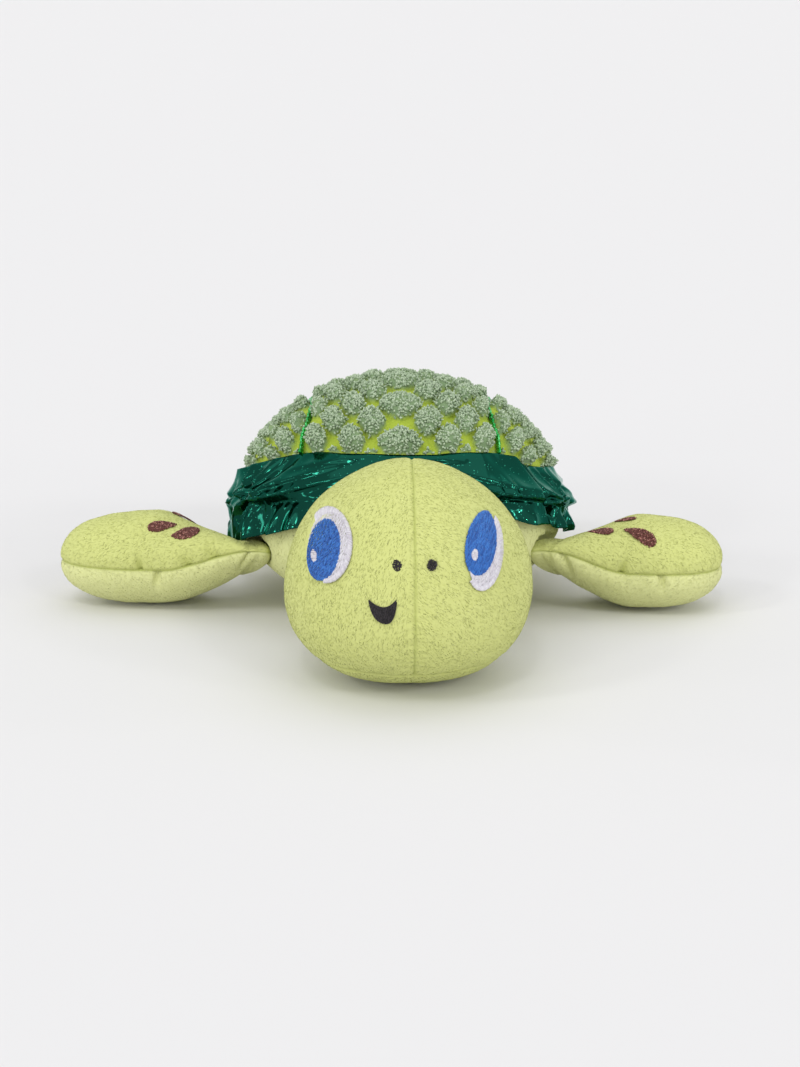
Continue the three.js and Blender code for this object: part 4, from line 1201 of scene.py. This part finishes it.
# Where the hem hangs lower, or is drawn up: degrees round the body, reach, drop.
HEM_DROPS = [(206, 27, 6.0), (302, 9, -4.2), (342, 14, 1.6)]


def band_place(arc, share, out, drop):
    """A place on the skirt: arc in mm round the body, share from its top edge to its hem."""
    angle = arc / BAND_ARC
    top, low = band_top(angle), rim_height(angle) - BAND_DROP
    return body_at(top + (low - top) * share - drop, angle, out)


def arc_of(degrees):
    """The length round the skirt at an angle."""
    return np.radians(degrees) * BAND_ARC


def fold_height(arc, low, folds):
    """Long folds, each a width and a crest line, crisp below the crest and soft above."""
    total = 0 * arc
    for width, line in folds:
        line = np.array(line, float)
        x, y, high = arc_of(line[:, 0]), line[:, 1] * BAND_TALL, line[:, 2]
        best = 0 * arc
        for i in range(len(x) - 1):
            dx, dy = x[i + 1] - x[i], y[i + 1] - y[i]
            t = np.clip(((arc - x[i]) * dx + (low - y[i]) * dy) / (dx * dx + dy * dy), 0, 1)
            aside, below = arc - x[i] - t * dx, low - y[i] - t * dy
            reach = width * (1 + 1.8 * (below < 0))
            crest = high[i] + (high[i + 1] - high[i]) * t
            best = np.maximum(best, crest * np.exp(-(np.hypot(aside, below) / reach) ** 1.25))
        total = total + 1.3 * best
    return total


def fan_height(arc, low, middle, share, blades, high):
    """Flat blades of foil that spread from a pinch, as in crushed wrapping."""
    aside, below = arc - arc_of(middle), low - share * BAND_TALL
    reach, turn = np.hypot(aside, below), np.arctan2(below, aside) / (2 * np.pi)
    blade = np.abs((blades * (turn + FAN_SWAY * np.sin(4 * np.pi * turn + middle)) % 1) * 2 - 1)
    fade = np.minimum(1, reach / FAN_FLAT)
    return high * (blade - 0.35) * fade * np.exp(-(reach / FAN_REACH) ** 3)


def skirt_out(arc, share, scrunches, folds, seed):
    """How far the skirt stands off: smooth, puffed, pulled in by the thread, then pleated."""
    at = xyz(arc, share * BAND_TALL, 0 * arc)
    round_only = at * [1, 0, 0]
    near = np.minimum(1, sum(hill(arc - s, SCRUNCH_REACH) for s in scrunches))
    line = share - THREAD_SHARE - 0.03 * waves(round_only, 19, seed + 5)
    bulge, pinched, tucked, puffed = (hill(line - middle, width) for middle, width
                                      in (BULGE, PINCHED, TUCKED, PUFFED))
    out = FOIL_REST + FOIL_FULLNESS * smooth_step(share, 0, 0.5) + (0.4 + near) * bulge
    out += -(0.4 + near) * pinched + FOIL_FLARE * smooth_step(line, 0, 0.33)
    turn = np.pi * arc / PLEAT_LENGTH + 1.6 * waves(round_only, 34, seed)
    pleat = 1 - 2 * np.abs(np.sin(turn + 0.8 * line))
    out += pleat * smooth_step(line, 0, 0.24) * (0.8 + 1.0 * near)
    turn = np.pi * arc / TUCK_LENGTH + 2.6 * waves(round_only, 17, seed + 1)
    out += (0.1 + 0.8 * near) * np.abs(np.sin(turn + 5 * line)) * tucked
    turn = np.pi * arc / PUFF_LENGTH + 2.4 * waves(at, 24, seed + 2)
    out += np.abs(np.sin(turn)) * (0.1 + 1.3 * near) * puffed
    out += (0.6 * waves(at * [1, 2.5, 1], 30, seed + 3)
            + (0.05 + 0.4 * near) * waves(at, 8, seed + 4))
    return out + fold_height(arc, share * BAND_TALL, folds)


def loose_end(arc, share):
    """The front piece's free corner stands off the body, and its other end does a little."""
    first, last = hill(arc - arc_of(-172), 12), hill(arc - arc_of(-34), 8)
    return first * (1.6 + 2.6 * (1 - share) ** 2) + 1.4 * last


def hem_drop(arc, share, seed):
    """How far the hem hangs below its even height, fading out above it."""
    degrees = (np.degrees(arc / BAND_ARC) + 360) % 360
    lower = sum(drop * hill(degrees - middle, reach) for middle, reach, drop in HEM_DROPS)
    uneven = 0.5 * waves(xyz(arc, 0 * arc, 0 * arc), 11, seed + 7)
    return (lower + uneven) * smooth_step(share, 0.6, 1)


def foil_piece(side_name, start, end, seed, scrunches, folds, fans, ends=None):
    """A thin closed sheet over one part of the rim, as a fine grid round the body and down."""
    steps = int(abs(end - start) * FOIL_STEPS_PER_DEGREE)
    arc_line = np.linspace(arc_of(start), arc_of(end), steps)
    share_line = np.linspace(0, 1, FOIL_STEPS_DOWN)
    arc, share = (g.ravel() for g in np.meshgrid(arc_line, share_line, indexing="ij"))
    out = skirt_out(arc, share, [arc_of(d) for d in scrunches], folds, seed)
    for middle, low_share, blades, high in fans:
        out += fan_height(arc, share * BAND_TALL, middle, low_share, blades, high)
    if ends:
        out += ends(arc, share)
    sheet = band_place(arc, share, np.maximum(LOWEST_FOIL, out), hem_drop(arc, share, seed))
    quads = grid_quads(len(arc_line), len(share_line))
    normal = point_normals(sheet, quads)
    girth, angle = 0 * arc + GIRTH_Z, arc / BAND_ARC
    if (normal * (body_at(girth, angle, 1) - body_at(girth, angle, 0))).sum() < 0:
        quads, normal = quads[:, ::-1], -normal
    sides = np.concatenate([quads[:, [k, (k + 1) % 4]] for k in range(4)])
    keys = {tuple(s) for s in sides}
    border = np.array([s for s in keys if (s[1], s[0]) not in keys])
    count = len(sheet)
    rim = np.stack([border[:, 1], border[:, 0], border[:, 0] + count, border[:, 1] + count], -1)
    both = np.concatenate([sheet + normal * FOIL_HALF_THICK, sheet - normal * FOIL_HALF_THICK])
    made = piece(f"foil_skirt_{side_name}", both,
                 np.concatenate([quads, quads[:, ::-1] + count, rim]), foil)
    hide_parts(f"foil_band_{side_name}")
    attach(made, "body")


# %% Foil pieces
# Each fold: its width, and its crest as degrees round the body, share from top to hem, height.
FRONT_FOLDS = [
    (1.3, [(-147, 0.62, 1.4), (-138, 0.56, 2.6), (-128, 0.46, 2.2), (-118, 0.35, 1.6),
           (-104, 0.20, 0.5)]),
    (1.0, [(-149, 0.42, 0.8), (-138, 0.39, 2.0), (-127, 0.27, 1.7), (-113, 0.13, 0.4)]),
    (1.0, [(-140, 0.24, 0.3), (-128, 0.14, 1.2), (-116, 0.07, 1.4), (-106, 0.05, 0.3)]),
    (1.2, [(-160, 0.04, 2.2), (-157, 0.50, 1.6)]),
    (1.0, [(-154, 0.08, 0.6), (-150, 0.28, 2.0), (-145, 0.52, 1.4)]),
    (0.9, [(-168, 0.20, 0.5), (-162, 0.44, 1.8), (-154, 0.56, 1.2)]),
    (0.9, [(-166, 0.60, 1.2), (-156, 0.66, 2.2), (-148, 0.60, 1.4), (-141, 0.68, 2.2)]),
    (1.0, [(-84, 0.10, 0.3), (-74, 0.06, 1.6), (-62, 0.10, 0.4)]),
    (1.2, [(-72, 0.18, 0.3), (-56, 0.34, 1.7), (-46, 0.44, 2.2), (-36, 0.48, 1.4)]),
    (1.0, [(-66, 0.40, 0.4), (-52, 0.54, 1.9), (-42, 0.60, 1.8), (-35, 0.62, 1.0)]),
]
LEFT_FOLDS = [
    (1.0, [(-33, 0.05, 1.0), (-32, 0.50, 1.5)]),
    (1.2, [(-26, 0.08, 0.4), (-25, 0.48, 1.4)]),
    (1.6, [(-22, 0.12, 0.6), (-15, 0.30, 1.6), (-8, 0.45, 0.8)]),
    (1.4, [(-31, 0.60, 1.0), (-20, 0.55, 2.0), (-6, 0.58, 1.5)]),
]


def further_folds(start, end, count, seed):
    """Long slanting folds round the sides and the back, where the photo shows none."""
    rng = np.random.default_rng(seed)
    made = []
    for middle in np.linspace(start, end, count):
        rise, long = rng.uniform(-0.16, 0.16), rng.uniform(7, 13)
        share, high = rng.uniform(0.18, 0.5), rng.uniform(0.8, 1.8)
        line = [(middle - long, share - rise, 0.3), (middle, share, high),
                (middle + long, share + rise, 0.3)]
        made.append((rng.uniform(0.9, 1.6), line))
    return made


# Each fan: degrees round the body, share from top to hem, number of blades, height.
foil_piece("front", -172, -34, 84, (-141, -48), FRONT_FOLDS,
           [(-149, 0.56, 6, 5.0), (-163, 0.5, 5, 2.6)], ends=loose_end)
foil_piece("left", -34, 90, 85, (-28, -8, 55), LEFT_FOLDS + further_folds(6, 86, 9, 87),
           [(-24, 0.55, 8, 3.0)])
foil_piece("right", 90, 188, 86, (182, 128), further_folds(94, 184, 10, 88), [])

# %% [markdown]
# ## Embroidery
#
# The eyes, the nostrils and the smile are stitched into the face panels. An embroidery machine
# fills a shape with parallel stitches and closes it with a satin border across its edge. Real
# rods of thread, laid one by one over the face, catch the light as thread does.

# %% Stitch helper
STITCH_RINGS, STITCH_SIDES, END_GIRTH, END_SINK = 5, 5, 0.8, 0.6


def stitches(name, ends, surface, thick, high, material, seed):
    """Closed stitches between pairs of places in a surface's own two coordinates."""
    rng = np.random.default_rng(seed)
    first, last = ends[:, :2], ends[:, 2:]
    centres, ups = [], []
    for t in np.linspace(0, 1, STITCH_RINGS):
        at = first + (last - first) * t
        arch = high * (0.25 + 0.75 * math.sin(math.pi * (0.08 + 0.84 * t)) ** 0.6)
        place, normal = surface(at[:, 0], at[:, 1], arch + rng.uniform(-0.03, 0.03, len(ends)))
        centres.append(place)
        ups.append(normal)
    way = unit(centres[-1] - centres[0])
    girths = [thick * END_GIRTH] + [thick] * (STITCH_RINGS - 2) + [thick * END_GIRTH]
    rings = [(centre, unit(np.cross(way, up)), up, girth)
             for centre, up, girth in zip(centres, ups, girths)]
    start, end = (centre + way * sense * thick * END_SINK - up * high * END_SINK
                  for centre, up, sense in ((centres[0], ups[0], -1), (centres[-1], ups[-1], 1)))
    # Each stitch gets one random tone; no shade is painted on thread.
    deep_shade_and_tone = np.repeat(rng.uniform(0, 0.9, len(ends)) ** 2, STITCH_RINGS * STITCH_SIDES + 2)
    return rod_piece(name, start, rings, end, STITCH_SIDES, material, deep_shade_and_tone)


FILL_STEP, SHORTEST_STITCH, RAGGED_END, RAGGED_SIDE = 0.08, 0.25, 0.18, 0.06


def fill_lines(inside, box, degrees, pitch, longest, seed):
    """Parallel stitches that fill a flat shape, given by a test, at an angle."""
    rng = np.random.default_rng(seed)
    c, s = math.cos(math.radians(degrees)), math.sin(math.radians(degrees))
    middle = np.array([(box[0] + box[2]) / 2, (box[1] + box[3]) / 2])
    half = math.hypot(box[2] - box[0], box[3] - box[1]) / 2
    place = lambda u, v: (middle[0] + u * c - v * s, middle[1] + u * s + v * c)
    ends = []
    for v in np.arange(-half, half, pitch):
        u = np.arange(-half, half, FILL_STEP)
        on = np.concatenate([[False], inside(*place(u, v)), [False]])
        starts, stops = np.flatnonzero(on[1:] & ~on[:-1]), np.flatnonzero(~on[1:] & on[:-1])
        for i, j in zip(starts, stops):
            lo, hi = u[i] - rng.uniform(0, RAGGED_END), u[j - 1] + rng.uniform(0, RAGGED_END)
            cut = lo + rng.uniform(0.3, 1) * longest
            marks = [lo]
            while cut < hi - 0.5:
                marks.append(cut)
                cut += longest * rng.uniform(0.85, 1.15)
            marks.append(hi)
            for a, b in zip(marks[:-1], marks[1:]):
                if b - a > SHORTEST_STITCH:
                    jitter = rng.uniform(-RAGGED_SIDE, RAGGED_SIDE, 2)
                    ends.append((*place(a, v + jitter[0]), *place(b, v + jitter[1])))
    return np.array(ends)


def box_round(shape, half_wide, half_high):
    """A box round the middle of an oval."""
    return shape[0] - half_wide, shape[1] - half_high, shape[0] + half_wide, shape[1] + half_high


def oval_edge(shape, grow, turn):
    """Places round a sheared oval of the face."""
    x, z, half_x, end_rise, half_z, top_shift = shape
    return (x + np.cos(turn) * (half_x + grow) + np.sin(turn) * top_shift,
            z + np.sin(turn) * (half_z + grow) + np.cos(turn) * end_rise)


def on_face(name, node_name, ends, thick, high, thread, seed):
    """Stitches on the face, in place of one node, that move with the head."""
    made = stitches(name, ends, face_point, thick, high, THREADS[thread], seed)
    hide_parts(node_name)
    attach(made, "head")


# %% Eyes
BORDER_STITCHES, BORDER_OUT, BORDER_IN, BORDER_SLANT = 170, 0.1, -1.35, 0.06


def make_eye(side_name, eye, seed):
    """A white with a satin border, the iris that covers part of it, and the highlight."""
    white, iris, glint = eye["white"], eye["iris"], eye["highlight"]
    turn = np.linspace(0, 2 * np.pi, BORDER_STITCHES, endpoint=False)
    rng = np.random.default_rng(seed)
    outer = oval_edge(white, BORDER_OUT, turn)
    inner = oval_edge(white, BORDER_IN, turn + BORDER_SLANT)
    border = np.stack([*inner, *outer], -1) + rng.uniform(-0.05, 0.05, (BORDER_STITCHES, 4))
    mid_x, mid_z = (inner[0] + outer[0]) / 2, (inner[1] + outer[1]) / 2
    border = border[(oval_share(mid_x, mid_z, iris, 0.25) > 1) & (mid_x > iris[0] - 3.2)]
    room = lambda x, z: (oval_share(x, z, white, -0.9) < 1) & (oval_share(x, z, iris, -0.25) > 1)
    blue = lambda x, z: (oval_share(x, z, iris) < 1) & (oval_share(x, z, glint, -0.1) > 1)
    bright = lambda x, z: oval_share(x, z, glint) < 1
    infill = fill_lines(room, box_round(white, 9, 12), 62, 0.29, 2.6, seed + 1)
    iris_fill = fill_lines(blue, box_round(iris, 8, 11), 58, 0.27, 2.2, seed + 2)
    glint_fill = fill_lines(bright, box_round(glint, 3, 3), 15, 0.3, 3, seed + 4)
    for part, node_name, *rest in (
            ("eye_white_border_{}", "eye_white_{}", border, 0.2, 0.62, "white_thread", seed),
            ("eye_white_fill_{}", "eye_white_{}", infill, 0.2, 0.34, "white_thread", seed),
            ("iris_{}_stitches", "iris_{}", iris_fill, 0.23, 0.5, "blue_thread", seed + 3),
            ("eye_highlight_{}_stitches", "eye_highlight_{}", glint_fill, 0.2, 0.62, "white_thread",
             seed + 5)):
        on_face(part.format(side_name), node_name.format(side_name), *rest)


for seed, (side_name, eye) in zip((101, 111), EYES.items()):
    make_eye(side_name, eye, seed)

# %% Nostrils and smile
for seed, (side_name, shape) in zip((121, 126), NOSTRILS.items()):
    rng = np.random.default_rng(seed)
    inside = lambda x, z: oval_share(x, z, shape, -0.15) < 1
    box = box_round(shape, 3, 3)
    ends = np.concatenate([fill_lines(inside, box, a, 0.3, 1.4, seed + a) for a in (70, 8)])
    ends += rng.uniform(-0.22, 0.22, ends.shape)
    on_face(f"nostril_{side_name}_stitches", f"nostril_{side_name}", ends, 0.18, 0.45,
            "black_thread", seed)

SMILE_LEFT, SMILE_RIGHT, SMILE_DIP, SMILE_LOW = (-1, 40.3), (-10, 39.4), (-4.6, 35), (-4.5, 32.2)


def bow(start, pull, end, t):
    """Places along a curve that starts and ends at two points and is pulled towards a third."""
    start, pull, end = (np.array(p, float) for p in (start, pull, end))
    t = t[:, None]
    return start * (1 - t) ** 2 + pull * 2 * t * (1 - t) + end * t**2


steps = np.linspace(0, 1, 60)
lower = np.concatenate([bow(SMILE_RIGHT, (-8.9, SMILE_LOW[1]), SMILE_LOW, steps),
                        bow(SMILE_LOW, (-1.5, SMILE_LOW[1]), SMILE_LEFT, steps)[1:]])
upper = bow(SMILE_RIGHT, SMILE_DIP, SMILE_LEFT, steps)


def in_smile(x, z):
    """Whether places of the face lie between the smile's two edges."""
    within = (x > lower[0, 0]) & (x < lower[-1, 0])
    return (within & (z < np.interp(x, upper[:, 0], upper[:, 1]))
            & (z > np.interp(x, lower[:, 0], lower[:, 1])))


ends = fill_lines(in_smile, (-11, 31, 0, 42), 80, 0.26, 2.0, 131)
outline = np.concatenate([np.hstack([line[:-6:6], line[6::6]]) for line in (lower, upper)])
on_face("smile_stitches", "mouth", np.concatenate([ends, outline]), 0.18, 0.42,
        "black_thread", 132)

# %% Spot stitches
def upper_side(spec):
    """A function from places in a flipper's plan to places on its top, and their normals."""
    def height(x, y):
        flat = leant(xyz(x, y, 0 * x), spec, back=True)
        above, _, ahead, behind = flipper_section(spec, flat[:, 0])
        chord = fore_aft(y, spec, ahead, behind)
        return above * np.sqrt(np.maximum(0, 1 - (y / chord) ** 2)) - flat[:, 2]

    def place(x, y, lift):
        slope_x = (height(x + SLOPE_STEP, y) - height(x - SLOPE_STEP, y)) / (2 * SLOPE_STEP)
        slope_y = (height(x, y + SLOPE_STEP) - height(x, y - SLOPE_STEP)) / (2 * SLOPE_STEP)
        normal = unit(xyz(-slope_x, -slope_y, np.ones_like(slope_y)))
        local = xyz(x, y, height(x, y)) + normal * lift[..., None]
        return turned(local, spec), turned(normal, dict(spec, hinge=(0, 0, 0)))

    return place


for name, spots in SPOTS.items():
    spec = FLIPPERS[name]
    side, top = spec["side"], upper_side(spec)
    for number, spot in enumerate(spots, 1):
        out, ahead, length, width = spot[:4]
        rng = np.random.default_rng(number + int(spec["reach"]))
        inside = lambda x, y: inside_spot(xyz(x, y, 0 * x), spot, side, 0.94)
        aside = -ahead * side
        box = (out - length - 1, aside - width - 3, out + length + 1, aside + width + 3)
        ends = np.concatenate([fill_lines(inside, box, a, 0.45, 1.7, number + a)
                               for a in (35, 115)])
        ends += rng.uniform(-0.2, 0.2, ends.shape)
        spot_piece = stitches(f"{name}_spot_{number}_stitches", ends, top, 0.22, 0.4, brown_thread,
                              number)
        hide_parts(f"{name}_spot_{number}")
        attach(spot_piece, name)

# %% [markdown]
# ## Stage
#
# The toy lies on a plain pale table under broad lamps. The floor keeps its shadow; what the
# camera sees beyond is a background of the same pale grey. The foil mirrors what is round it,
# so six narrow panels of light stand round the toy and five small ones glint in front of it,
# as in a photographer's tent.

# %% Floor and world
PALE, TABLE_TONE = colour(238, 238, 238), colour(224, 223, 223)
TABLE_CORNERS = [(-20, -20, 0), (20, -20, 0), (20, 60, 0), (-20, 60, 0)]  # in metres
floor_mesh = bpy.data.meshes.new("table_top")
floor_mesh.from_pydata(TABLE_CORNERS, [], [(0, 1, 2, 3)])
floor = bpy.data.objects.new("table_top", floor_mesh)
bpy.context.scene.collection.objects.link(floor)
floor.location.z = -0.0002
table_top, tree, shader = new_material("pale_table", rough=0.9)
shader.inputs["Base Color"].default_value = TABLE_TONE
shader.inputs["Specular IOR Level"].default_value = 0.1
floor_mesh.materials.append(table_top)
world = bpy.data.worlds.new("studio")
bpy.context.scene.world = world
world.use_nodes = True
tree = world.node_tree
tree.nodes.clear()
soft_light = node(tree, "Background", {"Color": (0.97, 0.98, 1.0, 1), "Strength": 0.66})
seen = node(tree, "Background", {"Color": PALE, "Strength": 1.0})
rays = node(tree, "LightPath").outputs
either = arith(tree, "MAXIMUM", rays["Is Camera Ray"], rays["Is Transmission Ray"])
either = arith(tree, "MAXIMUM", either, rays["Is Glossy Ray"])
pick = node(tree, "MixShader", {0: either, 1: soft_light.outputs[0], 2: seen.outputs[0]})
out = tree.nodes.new("ShaderNodeOutputWorld")
tree.links.new(pick.outputs[0], out.inputs[0])

# %% Lamps
PANEL_TURNS = (-110, -70, -32, 12, 50, 95)
SPARK_PLACES = ((-0.8, 0.5), (0.7, 0.75), (-0.2, 1.3), (-1.8, 1.5), (1.6, 0.8))


def lamp(name, towards, strength, width):
    """A far, broad light. The same light falls everywhere, so the table keeps one pale tone."""
    data = bpy.data.lights.new(name, "SUN")
    data.energy, data.angle = strength, math.radians(width)
    made = bpy.data.objects.new(name, data)
    made.rotation_euler = Vector(towards).to_track_quat("Z", "Y").to_euler()
    bpy.context.scene.collection.objects.link(made)


lamp("key_lamp", (-0.55, -0.6, 1.0), 0.34, 36)
lamp("fill_lamp", (0.9, -0.8, 0.7), 0.1, 40)
lamp("top_lamp", (0.1, 0.35, 1.0), 0.5, 60)
for number, turn in enumerate(PANEL_TURNS):
    across, ahead = math.sin(math.radians(turn)), math.cos(math.radians(turn))
    lamp(f"panel_{number}", (across, -ahead, 0.2), 0.16, 10)
for number, (across, above) in enumerate(SPARK_PLACES):
    lamp(f"spark_{number}", (across, -1.0, above), 0.26, 7)

# %% View transform
bpy.context.scene.view_settings.view_transform = "Standard"
